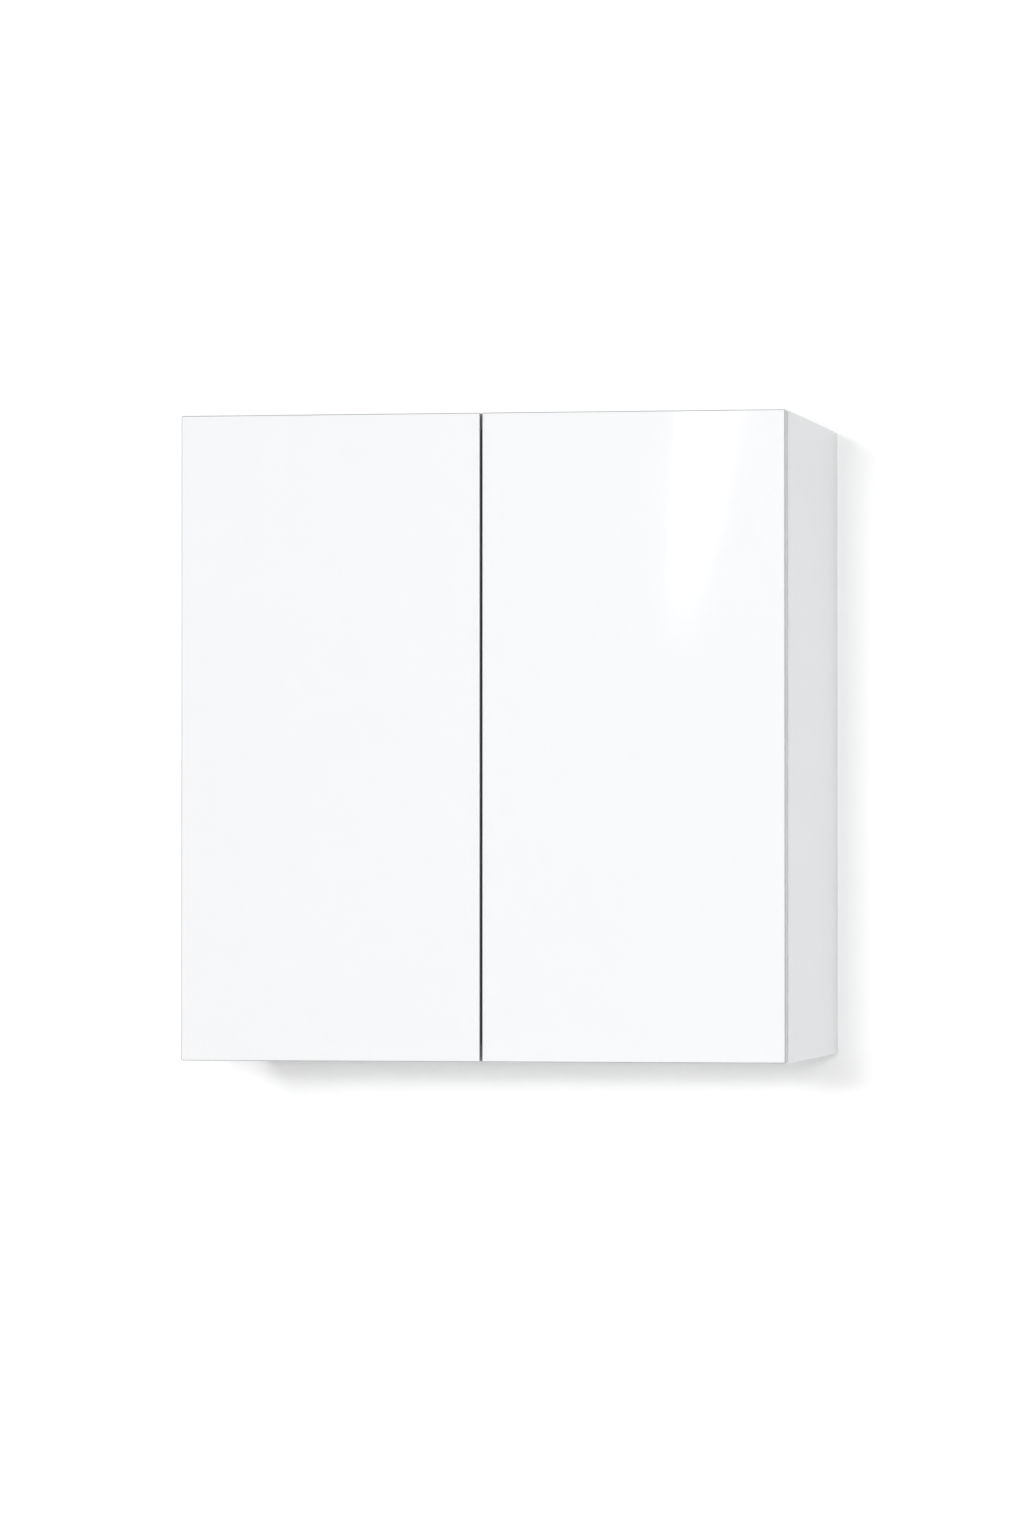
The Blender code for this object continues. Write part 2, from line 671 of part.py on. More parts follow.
def arm_outline():
    """The arm in plan: an eye round the pin, a neck along the cup's floor, then back to its plate."""
    base_u = PANEL + FIT + PLATE_THICKNESS + FIT
    top_u = base_u + ARM_HEIGHT
    eye = EYE_RADIUS
    neck_top = PIVOT_V + 0.0008
    neck_low = PIVOT_V - eye
    inner_u = PANEL + 0.0064
    points = arc((PIVOT_U, PIVOT_V), eye, 30, 270, 12)
    points += [(PANEL + 0.0085, neck_low), (PANEL + 0.0110, neck_low + 0.0022),
               (PANEL + 0.0114, -0.0040),
               (top_u, 0.0020), (top_u, ARM_LENGTH - 0.0020), (top_u - 0.0020, ARM_LENGTH), (base_u, ARM_LENGTH),
               (base_u, -0.0012), (PANEL + 0.0048, -0.0042), (inner_u, -0.0070), (inner_u, neck_top - 0.0004),
               (inner_u - 0.0006, neck_top)]
    hole = arc((PIVOT_U, PIVOT_V), PIN_HOLE_RADIUS, 7.5, 352.5, 23)
    return points, hole


def build_hinge_arm(build, name, frame):
    outline, hole = arm_outline()
    arm = build.plate("hinge_arm_" + name, (outline, hole), frame.plan(), 2 * ARM_HALF_WIDTH, NICKEL)
    base_u = PANEL + FIT + PLATE_THICKNESS + FIT
    top_u = base_u + ARM_HEIGHT

    def narrow_neck(mesh):
        for way in (-1, 1):
            frame.box(mesh, (0.0, -0.030, way * NECK_HALF_WIDTH), (0.060, 0.0020, way * 0.02))

    def channel(mesh):
        frame.box(mesh, (base_u - 0.002, 0.0060, -ARM_HALF_WIDTH + 0.0014),
                  (top_u - 0.0014, ARM_LENGTH + 0.002, ARM_HALF_WIDTH - 0.0014))

    def screw_hole(mesh):
        start = frame.point(base_u - 0.002, PLATE_HOLE_INSET + ARM_SCREW_SETBACK)
        add_cylinder(mesh, start, (-frame.side, 0, 0), SCREW_HOLE_RADIUS, ARM_HEIGHT + 0.004, 12)

    build.cut(arm, narrow_neck)
    build.cut(arm, channel)
    build.cut(arm, screw_hole)
    return arm


def build_mounting_plate(build, name, frame):
    """A cruciform plate screwed to the side panel, as (v, w)."""
    body = ARM_HALF_WIDTH + 0.0010
    wing = PLATE_HOLE_SPACING / 2 + 0.0065
    front = 0.0060
    rear = ARM_LENGTH + 0.0030
    near = PLATE_HOLE_INSET - 0.0065
    far = PLATE_HOLE_INSET + 0.0065
    c = 0.0015
    outline = ((front, -body), (near, -body), (near, -wing + c), (near + c, -wing), (far - c, -wing),
               (far, -wing + c), (far, -body), (rear - c, -body), (rear, -body + c), (rear, body - c),
               (rear - c, body), (far, body), (far, wing - c), (far - c, wing), (near + c, wing),
               (near, wing - c), (near, body), (front, body))
    middle_u = PANEL + FIT + PLATE_THICKNESS / 2
    places = ((PLATE_HOLE_INSET, -PLATE_HOLE_SPACING / 2), (PLATE_HOLE_INSET, PLATE_HOLE_SPACING / 2),
              (PLATE_HOLE_INSET + ARM_SCREW_SETBACK, 0.0))
    holes = [arc(place, SCREW_HOLE_RADIUS, 0, 330, 11) for place in places]
    plane = frame.flank(middle_u)
    return build.plate("hinge_plate_" + name, [outline] + holes, plane, PLATE_THICKNESS, NICKEL)


def build_hinge(build, name, side, z):
    frame = HingeFrame(side, z)
    pivot = frame.point(PIVOT_U, PIVOT_V)
    put_origin(build_hinge_pin(build, name, frame), pivot)
    build_hinge_cup(build, name, frame)
    build_hinge_arm(build, name, frame)
    build_mounting_plate(build, name, frame)


# ---------------------------------------------------------------- assembly
def main():
    build = Build()
    build_level_panel(build, "bottom_panel", 0.0, PANEL, -1)
    build_level_panel(build, "top_panel", HEIGHT - PANEL, HEIGHT - PANEL, 1)
    build_back_panel(build)
    build_shelves(build)
    build_pegs(build)
    build_cams(build)
    build_rail(build)
    for side_name, side in SIDES:
        build_side_panel(build, side_name, side)
        build_hanger(build, side_name, side)
        build_door(build, side_name, side)
        build_latch(build, side_name, side)
        for level_name, z in hinge_levels():
            build_hinge(build, level_name + "_" + side_name, side, z)


main()
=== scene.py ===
"""Looks and studio for a hanging wall cabinet, laid out as an add-on.

Each operator makes one piece, or one group of like pieces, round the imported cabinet, and the
last one makes the studio.  Units are metres, +Z is up and the doors face -Y.
"""

import math

import bmesh
import bpy
from mathutils import Matrix, Vector


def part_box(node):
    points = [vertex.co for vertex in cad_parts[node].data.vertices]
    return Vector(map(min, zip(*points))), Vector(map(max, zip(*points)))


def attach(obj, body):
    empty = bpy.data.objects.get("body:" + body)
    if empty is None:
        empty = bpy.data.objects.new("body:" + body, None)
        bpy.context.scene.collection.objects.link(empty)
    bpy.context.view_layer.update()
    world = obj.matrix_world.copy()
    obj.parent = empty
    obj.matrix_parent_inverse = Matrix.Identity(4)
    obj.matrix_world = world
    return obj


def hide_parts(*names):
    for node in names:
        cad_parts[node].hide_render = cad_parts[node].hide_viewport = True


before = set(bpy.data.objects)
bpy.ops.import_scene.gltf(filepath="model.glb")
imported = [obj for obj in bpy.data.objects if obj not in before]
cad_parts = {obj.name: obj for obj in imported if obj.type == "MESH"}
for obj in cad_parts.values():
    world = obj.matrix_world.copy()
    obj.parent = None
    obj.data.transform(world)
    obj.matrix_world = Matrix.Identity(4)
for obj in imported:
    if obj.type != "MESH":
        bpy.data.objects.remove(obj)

bl_info = {
    "name": "Wall cabinet looks",
    "version": (1, 0, 0),
    "blender": (4, 5, 0),
    "location": "3D View > Sidebar > Cabinet",
    "description": "Materials, fittings and studio for a hanging wall cabinet",
    "category": "Object",
}

SIDES = (("left", -1.0), ("right", 1.0))
LEVELS = ("lower", "upper")


# ---------------------------------------------------------------- settings
class CabinetSettings(bpy.types.PropertyGroup):
    """Colours and finishes of the cabinet"""

    lacquer: bpy.props.FloatVectorProperty(name="Door lacquer", description="Colour of the door fronts",
                                           subtype="COLOR", size=3, min=0, max=1, default=(0.838, 0.843, 0.853))
    # painted shade: this dark grey goes on the door edges and a thin strip of the front beside them, standing in for
    # the shadow in the gap between each door and the carcass
    painted_gap_shade: bpy.props.FloatVectorProperty(name="Edge band", description="Colour of the band round the doors",
                                        subtype="COLOR", size=3, min=0, max=1, default=(0.30, 0.31, 0.32))
    painted_gap_shade_depth: bpy.props.FloatProperty(name="Band thickness", description="Thickness of the edge band",
                                        unit="LENGTH", precision=4, min=0, default=0.0006)
    lacquer_roughness: bpy.props.FloatProperty(name="Lacquer roughness", description="How soft reflections are",
                                               min=0.02, max=1, default=0.045)
    board: bpy.props.FloatVectorProperty(name="Board", description="Colour of the coated board",
                                         subtype="COLOR", size=3, min=0, max=1, default=(0.866, 0.878, 0.892))
    core: bpy.props.FloatVectorProperty(name="Core", description="Colour of the raw board in holes and grooves",
                                        subtype="COLOR", size=3, min=0, max=1, default=(0.47, 0.34, 0.20))
    hardboard: bpy.props.FloatVectorProperty(name="Hardboard", description="Raw rear face of the back panel",
                                             subtype="COLOR", size=3, min=0, max=1, default=(0.33, 0.20, 0.105))
    edge_radius: bpy.props.FloatProperty(name="Edge radius", description="Rounding of metal and plastic edges",
                                         unit="LENGTH", min=0, max=0.001, default=0.00025)
    segments: bpy.props.IntProperty(name="Segments", description="Facets round turned pieces",
                                    min=16, max=128, default=48)
    screw_radius: bpy.props.FloatProperty(name="Screw head radius", description="Radius of the screw heads",
                                          unit="LENGTH", min=0.001, max=0.006, default=0.0032)


class StudioSettings(bpy.types.PropertyGroup):
    """Lights, wall and camera"""

    lens: bpy.props.FloatProperty(name="Lens", description="Focal length", unit="CAMERA", min=20, max=400,
                                  default=166.06)
    camera: bpy.props.FloatVectorProperty(name="Camera", description="Camera position", subtype="TRANSLATION",
                                          unit="LENGTH", size=3, default=(1.23401, -7.19627, -0.39537))
    camera_yaw: bpy.props.FloatProperty(name="Camera yaw", description="Turn about the vertical", unit="ROTATION",
                                        default=0.17500)
    camera_pitch: bpy.props.FloatProperty(name="Camera pitch", description="Tilt above the horizon",
                                          unit="ROTATION", default=0.01413)
    key_power: bpy.props.FloatProperty(name="Key light", description="Power of the upper front light", unit="POWER",
                                       min=0, default=255.0)
    level_power: bpy.props.FloatProperty(name="Level light", description="Power of the front light at eye level",
                                         unit="POWER", min=0, default=325.0)
    high_power: bpy.props.FloatProperty(name="High light", description="Power of the light high in front",
                                        unit="POWER", min=0, default=70.0)
    small_power: bpy.props.FloatProperty(name="Small light", description="Power of the small front light",
                                         unit="POWER", min=0, default=100.0)
    fill_power: bpy.props.FloatProperty(name="Fill light", description="Power of the side light", unit="POWER",
                                        min=0, default=24.0)
    rear_power: bpy.props.FloatProperty(name="Rear light", description="Power of the light behind the wall",
                                        unit="POWER", min=0, default=3.0)
    world_strength: bpy.props.FloatProperty(name="Surroundings", description="Brightness of the surroundings",
                                            min=0, default=0.07)
    streak_strength: bpy.props.FloatProperty(name="Strip light", description="Brightness of the strip that the "
                                             "right door mirrors", min=0, default=2.6)
    wall_colour: bpy.props.FloatVectorProperty(name="Wall", description="Colour of the wall paint",
                                               subtype="COLOR", size=3, min=0, max=1, default=(0.95, 0.95, 0.95))


# ---------------------------------------------------------------- shader groups
class Nodes:
    """Short way to build a node tree."""

    def __init__(self, tree):
        self.tree = tree

    def add(self, kind, **values):
        node = self.tree.nodes.new(kind)
        for key, value in values.items():
            setattr(node, key, value)
        return node

    def link(self, source, target):
        self.tree.links.new(source, target)

    def math(self, operation, a, b, clamp=False):
        node = self.add("ShaderNodeMath", operation=operation, use_clamp=clamp)
        for socket, value in zip(node.inputs, (a, b)):
            if isinstance(value, (int, float)):
                socket.default_value = value
            else:
                self.link(value, socket)
        return node.outputs[0]

    def vector_math(self, operation, a, b):
        node = self.add("ShaderNodeVectorMath", operation=operation)
        for socket, value in zip(node.inputs, (a, b)):
            if isinstance(value, (tuple, list)):
                socket.default_value = value
            else:
                self.link(value, socket)
        return node.outputs["Vector"]

    def mix(self, factor, a, b):
        node = self.add("ShaderNodeMix", data_type="RGBA")
        for name, value in (("Factor", factor), ("A", a), ("B", b)):
            socket = next(s for s in node.inputs if s.name == name and s.enabled)
            if isinstance(value, (int, float, tuple, list)):
                socket.default_value = value
            else:
                self.link(value, socket)
        return next(s for s in node.outputs if s.enabled)

    def noise(self, vector, scale, detail=2.0, roughness=0.5):
        node = self.add("ShaderNodeTexNoise")
        for name, value in (("Scale", scale), ("Detail", detail), ("Roughness", roughness)):
            if isinstance(value, (int, float)):
                node.inputs[name].default_value = value
            else:
                self.link(value, node.inputs[name])
        self.link(vector, node.inputs["Vector"])
        return node.outputs["Fac"]

    def here(self):
        """Where the shaded point is, in metres."""
        return self.add("ShaderNodeTexCoord").outputs["Object"]

    def parts(self, vector):
        node = self.add("ShaderNodeSeparateXYZ")
        self.link(vector, node.inputs[0])
        return node.outputs

    def insets(self, where, low, high):
        """How far inside a box a place is, along each axis, from the nearer face."""
        return self.parts(self.vector_math("MINIMUM", self.vector_math("SUBTRACT", where, low),
                                           self.vector_math("SUBTRACT", high, where)))

    def least(self, parts):
        return self.math("MINIMUM", self.math("MINIMUM", parts[0], parts[1]), parts[2])

    def scaled(self, colour, factor):
        node = self.add("ShaderNodeVectorMath", operation="SCALE")
        self.link(colour, node.inputs[0])
        self.link(factor, node.inputs["Scale"])
        return node.outputs[0]

    def bump(self, height, strength, distance):
        node = self.add("ShaderNodeBump")
        node.inputs["Distance"].default_value = distance
        self.link(strength, node.inputs["Strength"])
        self.link(height, node.inputs["Height"])
        return node.outputs[0]


SURFACE = (("Colour", "NodeSocketColor"), ("Roughness", "NodeSocketFloat"), ("Normal", "NodeSocketVector"))


def node_of(owner, kind):
    return next(node for node in owner.node_tree.nodes if node.type == kind)


def new_group(name, inputs):
    """A node group with (name, socket type, default) inputs, which gives a surface its looks."""
    tree = bpy.data.node_groups.new(name, "ShaderNodeTree")
    for label, kind, default in inputs:
        socket = tree.interface.new_socket(label, in_out="INPUT", socket_type=kind)
        if default is not None:
            socket.default_value = default
    for label, kind in SURFACE:
        tree.interface.new_socket(label, in_out="OUTPUT", socket_type=kind)
    nodes = Nodes(tree)
    return tree, nodes, nodes.add("NodeGroupInput").outputs, nodes.add("NodeGroupOutput").inputs


def film_group():
    """Sprayed film: slow orange-peel waves and a faint change of gloss."""
    tree, n, i, o = new_group("Sprayed film", (
        ("Colour", "NodeSocketColor", (0.9, 0.9, 0.9, 1)), ("Peel Size", "NodeSocketFloat", 260.0),
        ("Peel Height", "NodeSocketFloat", 0.02), ("Roughness", "NodeSocketFloat", 0.1)))
    where = n.here()
    peel = n.noise(where, i["Peel Size"], 1.5)
    drift = n.noise(where, 2.2, 2.0)
    n.link(n.math("ADD", i["Roughness"], n.math("MULTIPLY", n.math("SUBTRACT", drift, 0.5), 0.03)), o["Roughness"])
    n.link(n.scaled(i["Colour"], n.math("ADD", n.math("MULTIPLY", drift, 0.012), 0.994)), o["Colour"])
    n.link(n.bump(peel, i["Peel Height"], 0.0002), o["Normal"])
    return tree


def coated_board_group():
    """Coated board: a fine pearl texture outside and pressed chips wherever the coating is cut through."""
    tree, n, i, o = new_group("Coated board", (
        ("Coating", "NodeSocketColor", (0.85, 0.85, 0.85, 1)), ("Core", "NodeSocketColor", (0.5, 0.36, 0.22, 1)),
        ("Low Corner", "NodeSocketVector", None), ("High Corner", "NodeSocketVector", None),
        ("Coating Depth", "NodeSocketFloat", 0.0006), ("Roughness", "NodeSocketFloat", 0.42),
        ("Pearl Height", "NodeSocketFloat", 0.12)))
    where = n.here()
    depth = n.least(n.insets(where, i["Low Corner"], i["High Corner"]))
    cut = n.math("GREATER_THAN", depth, i["Coating Depth"])
    chips = n.add("ShaderNodeTexVoronoi")
    chips.inputs["Scale"].default_value = 900.0
    n.link(where, chips.inputs["Vector"])
    chip_shade = n.mix(chips.outputs["Distance"], i["Core"], (0.70, 0.55, 0.36, 1))
    slow = n.noise(where, 5.0, 2.0)
    pale = n.mix(n.math("MULTIPLY", slow, 0.05), i["Coating"], (0.97, 0.97, 0.96, 1))
    n.link(n.mix(cut, pale, chip_shade), o["Colour"])
    pearl = n.noise(where, 1500.0, 2.0, 0.6)
    rough = n.math("ADD", i["Roughness"], n.math("MULTIPLY", n.math("SUBTRACT", pearl, 0.5), 0.10))
    n.link(n.math("ADD", rough, n.math("MULTIPLY", cut, 0.4), clamp=True), o["Roughness"])
    grain = n.math("ADD", pearl, n.math("MULTIPLY", cut, chips.outputs["Distance"]))
    n.link(n.bump(grain, i["Pearl Height"], 0.0001), o["Normal"])
    return tree


def plated_metal_group():
    """Plated steel: drawn lines along one way, cloudy plating and a changing gloss."""
    tree, n, i, o = new_group("Plated metal", (
        ("Colour", "NodeSocketColor", (0.6, 0.6, 0.6, 1)), ("Cloud Colour", "NodeSocketColor", (0.5, 0.5, 0.5, 1)),
        ("Line Direction", "NodeSocketVector", None), ("Roughness", "NodeSocketFloat", 0.25),
        ("Line Height", "NodeSocketFloat", 0.15)))
    where = n.here()
    lines = n.noise(n.vector_math("MULTIPLY", where, i["Line Direction"]), 1.0, 3.0, 0.7)
    clouds = n.noise(where, 120.0, 3.0, 0.6)
    n.link(n.mix(clouds, i["Colour"], i["Cloud Colour"]), o["Colour"])
    gloss = n.math("ADD", n.math("MULTIPLY", clouds, 0.14), n.math("MULTIPLY", lines, 0.08))
    n.link(n.math("ADD", i["Roughness"], n.math("SUBTRACT", gloss, 0.11), clamp=True), o["Roughness"])
    n.link(n.bump(lines, i["Line Height"], 0.00005), o["Normal"])
    return tree


def moulded_group():
    """Moulded plastic: spark-eroded grain and slight flow marks."""
    tree, n, i, o = new_group("Moulded plastic", (
        ("Colour", "NodeSocketColor", (0.8, 0.8, 0.8, 1)), ("Grain Size", "NodeSocketFloat", 2200.0),
        ("Grain Height", "NodeSocketFloat", 0.25), ("Roughness", "NodeSocketFloat", 0.42)))
    where = n.here()
    grain = n.noise(where, i["Grain Size"], 2.0)
    flow = n.noise(where, 60.0, 1.0)
    n.link(n.scaled(i["Colour"], n.math("ADD", n.math("MULTIPLY", flow, 0.06), 0.96)), o["Colour"])
    n.link(n.math("ADD", i["Roughness"], n.math("MULTIPLY", n.math("SUBTRACT", grain, 0.5), 0.15)), o["Roughness"])
    n.link(n.bump(grain, i["Grain Height"], 0.00005), o["Normal"])
    return tree


def group_named(name, make):
    return bpy.data.node_groups.get(name) or make()


def finish_material(name, group, values, metallic=0.0, coat=0.0):
    """A material whose Principled shader takes its colour, roughness and normal from a group."""
    material = bpy.data.materials.new(name)
    material.use_nodes = True
    n = Nodes(material.node_tree)
    shader = node_of(material, "BSDF_PRINCIPLED")
    shader.inputs["Metallic"].default_value = metallic
    shader.inputs["Coat Weight"].default_value = coat
    shader.inputs["Coat Roughness"].default_value = 0.03
    source = n.add("ShaderNodeGroup", node_tree=group)
    for key, value in values.items():
        source.inputs[key].default_value = value
    n.link(source.outputs["Colour"], shader.inputs["Base Color"])
    n.link(source.outputs["Roughness"], shader.inputs["Roughness"])
    n.link(source.outputs["Normal"], shader.inputs["Normal"])
    return material


def opaque(colour):
    return (*colour, 1.0)


def lacquer_material(settings):
    group = group_named("Sprayed film", film_group)
    return finish_material("door_lacquer", group, {"Colour": opaque(settings.lacquer), "Peel Size": 260.0,
                           "Peel Height": 0.012, "Roughness": settings.lacquer_roughness}, coat=0.35)


def board_material(name, settings, low, high, coating=None, core=None):
    group = group_named("Coated board", coated_board_group)
    return finish_material(name, group, {"Coating": opaque(coating or settings.board),
                           "Core": opaque(core or settings.core), "Low Corner": low, "High Corner": high})


def nickel_material(name, lines):
    group = group_named("Plated metal", plated_metal_group)
    return finish_material(name, group, {"Colour": (0.70, 0.69, 0.66, 1), "Cloud Colour": (0.60, 0.60, 0.59, 1),
                           "Line Direction": lines, "Roughness": 0.22}, metallic=1.0)


def zinc_material(name, lines):
    group = group_named("Plated metal", plated_metal_group)
    return finish_material(name, group, {"Colour": (0.60, 0.63, 0.66, 1), "Cloud Colour": (0.48, 0.51, 0.55, 1),
                           "Line Direction": lines, "Roughness": 0.36}, metallic=1.0)


def plastic_material(name, colour, grain=2200.0):
    group = group_named("Moulded plastic", moulded_group)
    return finish_material(name, group, {"Colour": colour, "Grain Size": grain})


# ---------------------------------------------------------------- mesh helpers
ROUND_STEPS = 3


def settings_of(context):
    return context.scene.cabinet_settings


def link_object(name, data):
    obj = bpy.data.objects.new(name, data)
    bpy.context.scene.collection.objects.link(obj)
    return obj


def smooth_by_angle(data, degrees):
    data.shade_smooth()
    data.set_sharp_from_angle(angle=math.radians(degrees))


def box_centre(node):
    low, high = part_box(node)
    return (low + high) / 2


def axis_matrix(centre, axis):
    turn = Vector((0, 0, 1)).rotation_difference(Vector(axis))
    return Matrix.Translation(centre) @ turn.to_matrix().to_4x4()


def add_lathe(mesh, profile, matrix, segments):
    """Rings at (radius, height), with a cap at both ends."""
    rings = []
    for radius, height in profile:
        ring = []
        for k in range(segments):
            angle = 2 * math.pi * k / segments
            ring.append(mesh.verts.new(matrix @ Vector((radius * math.cos(angle), radius * math.sin(angle), height))))
        rings.append(ring)
    for lower, upper in zip(rings, rings[1:]):
        for k in range(segments):
            j = (k + 1) % segments
            mesh.faces.new((lower[k], lower[j], upper[j], upper[k]))
    mesh.faces.new(list(reversed(rings[0])))
    mesh.faces.new(rings[-1])


def rounded(profile, radius):
    """Rounds the corners of a lathe profile, ends excepted."""
    out = [profile[0]]
    for before, corner, after in zip(profile, profile[1:], profile[2:]):
        c = Vector(corner)
        a = Vector(before) - c
        b = Vector(after) - c
        reach = min(radius, a.length * 0.45, b.length * 0.45)
        start = c + a.normalized() * reach
        end = c + b.normalized() * reach
        for k in range(ROUND_STEPS + 1):
            t = k / ROUND_STEPS
            point = start * (1 - t) ** 2 + c * 2 * t * (1 - t) + end * t ** 2
            out.append((point.x, point.y))
    out.append(profile[-1])
    return out


def mesh_object(mesh, name, material, degrees=35):
    bmesh.ops.recalc_face_normals(mesh, faces=mesh.faces[:])
    data = bpy.data.meshes.new(name)
    mesh.to_mesh(data)
    mesh.free()
    smooth_by_angle(data, degrees)
    data.materials.append(material)
    return link_object(name, data)


def lathe_object(name, profile, centre, axis, material, segments):
    mesh = bmesh.new()
    add_lathe(mesh, profile, axis_matrix(centre, axis), segments)
    return mesh_object(mesh, name, material)


def add_outline(mesh, loops, matrix, thickness, bevel):
    """Adds a flat plate drawn as closed 2D loops, centred on its plane, with rounded edges."""
    curve = bpy.data.curves.new("drawing", "CURVE")
    curve.dimensions = "2D"
    curve.fill_mode = "BOTH"
    curve.extrude = thickness / 2 - bevel
    curve.bevel_depth = bevel
    curve.bevel_resolution = 1
    curve.offset = -bevel
    for loop in loops:
        spline = curve.splines.new("POLY")
        spline.points.add(len(loop) - 1)
        for point, (u, v) in zip(spline.points, loop):
            point.co = (u, v, 0.0, 1.0)
        spline.use_cyclic_u = True
    drawn = link_object("drawing", curve)
    bpy.context.view_layer.update()
    data = bpy.data.meshes.new_from_object(drawn.evaluated_get(bpy.context.evaluated_depsgraph_get()))
    data.transform(matrix)
    bpy.data.objects.remove(drawn, do_unlink=True)
    bpy.data.curves.remove(curve)
    mesh.from_mesh(data)
    bpy.data.meshes.remove(data)
    bmesh.ops.remove_doubles(mesh, verts=mesh.verts[:], dist=1e-7)


def circle(centre, radius, count):
    return [(centre[0] + radius * math.cos(2 * math.pi * k / count),
             centre[1] + radius * math.sin(2 * math.pi * k / count)) for k in range(count)]


def arc(centre, radius, start, end, steps):
    angles = [math.radians(start + (end - start) * k / steps) for k in range(steps + 1)]
    return [(centre[0] + radius * math.cos(a), centre[1] + radius * math.sin(a)) for a in angles]


def cross(size, width):
    """A cross recess outline."""
    s, w = size, width
    return [(s, -w), (s, w), (w, w), (w, s), (-w, s), (-w, w),
            (-s, w), (-s, -w), (-w, -w), (-w, -s), (w, -s), (w, -w)]


def soften(obj, width):
    """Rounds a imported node's edges in the looks only."""
    modifier = obj.modifiers.new("soft edges", "BEVEL")
    modifier.width = width
    modifier.segments = 2
    modifier.limit_method = "ANGLE"
    modifier.angle_limit = math.radians(38)
    modifier.harden_normals = False


def dress(node, material, edge=0.0):
    """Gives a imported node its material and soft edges."""
    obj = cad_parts[node]
    obj.data.materials.clear()
    obj.data.materials.append(material)
    smooth_by_angle(obj.data, 32)
    if edge:
        soften(obj, edge)
    return obj


def place(obj, body, slot, *replaced):
    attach(obj, body)
    if replaced:
        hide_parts(*replaced)
    return obj


# ---------------------------------------------------------------- boards and doors
RAW_FACE = 0.0004            # depth of the back panel's uncoated rear face
DOOR_COATING = 0.0012


class CABINET_OT_boards(bpy.types.Operator):
    """Coat the panels and shelves, with raw chips showing in their holes and grooves"""

    bl_idname = "cabinet.boards"
    bl_label = "Coat the boards"

    def execute(self, context):
        settings = settings_of(context)
        boards = ["top_panel", "bottom_panel", "shelf_lower", "shelf_upper"]
        boards += ["side_panel_" + side for side, _ in SIDES]
        for node in boards:
            low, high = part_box(node)
            dress(node, board_material(node + "_coat", settings, low, high))
        low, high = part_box("back_panel")
        rear = high.y - RAW_FACE
        material = board_material("back_panel_coat", settings, low, high,
                                  coating=(0.80, 0.80, 0.79), core=settings.hardboard)
        n = Nodes(material.node_tree)
        source = node_of(material, "GROUP")
        shader = node_of(material, "BSDF_PRINCIPLED")
        where = n.here()
        raw = n.math("GREATER_THAN", n.parts(where)["Y"], rear)
        fibres = n.noise(n.vector_math("MULTIPLY", where, (300, 300, 900)), 1.0, 4.0, 0.65)
        brown = n.mix(fibres, opaque(settings.hardboard), (0.50, 0.34, 0.19, 1))
        n.link(n.mix(raw, source.outputs["Colour"], brown), shader.inputs["Base Color"])
        n.link(n.math("ADD", source.outputs["Roughness"], n.math("MULTIPLY", raw, 0.35), clamp=True),
               shader.inputs["Roughness"])
        dress("back_panel", material)
        return {"FINISHED"}


class CABINET_OT_doors(bpy.types.Operator):
    """Spray the doors with gloss lacquer and paint their edges dark grey, a painted shade of the gaps round the doors
    """

    bl_idname = "cabinet.doors"
    bl_label = "Lacquer the doors"

    def execute(self, context):
        settings = settings_of(context)
        film = lacquer_material(settings)
        for side, _ in SIDES:
            low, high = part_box("door_" + side)
            material = film.copy()
            material.name = "door_lacquer_" + side
            n = Nodes(material.node_tree)
            source = node_of(material, "GROUP")
            shader = node_of(material, "BSDF_PRINCIPLED")
            core = n.add("ShaderNodeGroup", node_tree=group_named("Coated board", coated_board_group))
            core.inputs["Coating"].default_value = opaque(settings.lacquer)
            core.inputs["Core"].default_value = opaque(settings.core)
            core.inputs["Low Corner"].default_value = low
            core.inputs["High Corner"].default_value = high
            core.inputs["Coating Depth"].default_value = DOOR_COATING
            inset = n.insets(n.here(), tuple(low), tuple(high))
            cut = n.math("GREATER_THAN", n.least(inset), DOOR_COATING)
            # painted shade: the door edges and a thin strip of the front beside them take a dark grey that stands in
            # for the shadow in the gap between door and carcass, and are made a little rougher
            painted_gap_shade = n.math("LESS_THAN", n.math("MINIMUM", inset["X"], inset["Z"]), settings.painted_gap_shade_depth)
            face = n.mix(cut, source.outputs["Colour"], core.outputs["Colour"])
            n.link(n.mix(painted_gap_shade, face, opaque(settings.painted_gap_shade)), shader.inputs["Base Color"])
            rough = n.math("ADD", n.math("MULTIPLY", cut, 0.6), n.math("MULTIPLY", painted_gap_shade, 0.25))
            n.link(n.math("ADD", source.outputs["Roughness"], rough, clamp=True), shader.inputs["Roughness"])
            dress("door_" + side, material)
        return {"FINISHED"}


# ---------------------------------------------------------------- fittings
CENTRE = 0.0002              # how near its axis a lathe profile starts and ends

# Hinge sizes, along the u, v and w of HingeFrame
PIVOT_U = 0.0080
PIVOT_V = -0.0130
CUP_U = 0.0215
CUP_OUTER = 0.0172
CUP_INNER = 0.0164
RIM_V = -0.0015
CUP_FLOOR_V = -0.0158
CUP_UNDER_V = -0.0166
FLANGE_THICKNESS = 0.0012
FLANGE_RADIUS = 0.0188
TAB_RADIUS = 0.0065
TAB_U = CUP_U + 0.0055
TAB_W = 0.0225
TAB_HOLE = 0.0021
EAR_W = 0.0054
EAR_RADIUS = 0.0022
EAR_HOLE = 0.00096
EAR_HEEL = 0.0024
EAR_THICKNESS = 0.0018
EAR_ROOT = CUP_FLOOR_V - 0.0003
PIN_RADIUS = 0.00088
PLATE_TOP_U = 0.0188
PLATE_SCREW_V = 0.037
PLATE_SCREW_W = 0.016
ARM_TOP_U = 0.0285
ARM_FRONT_V = 0.020
ARM_REAR_V = PLATE_SCREW_V + 0.008


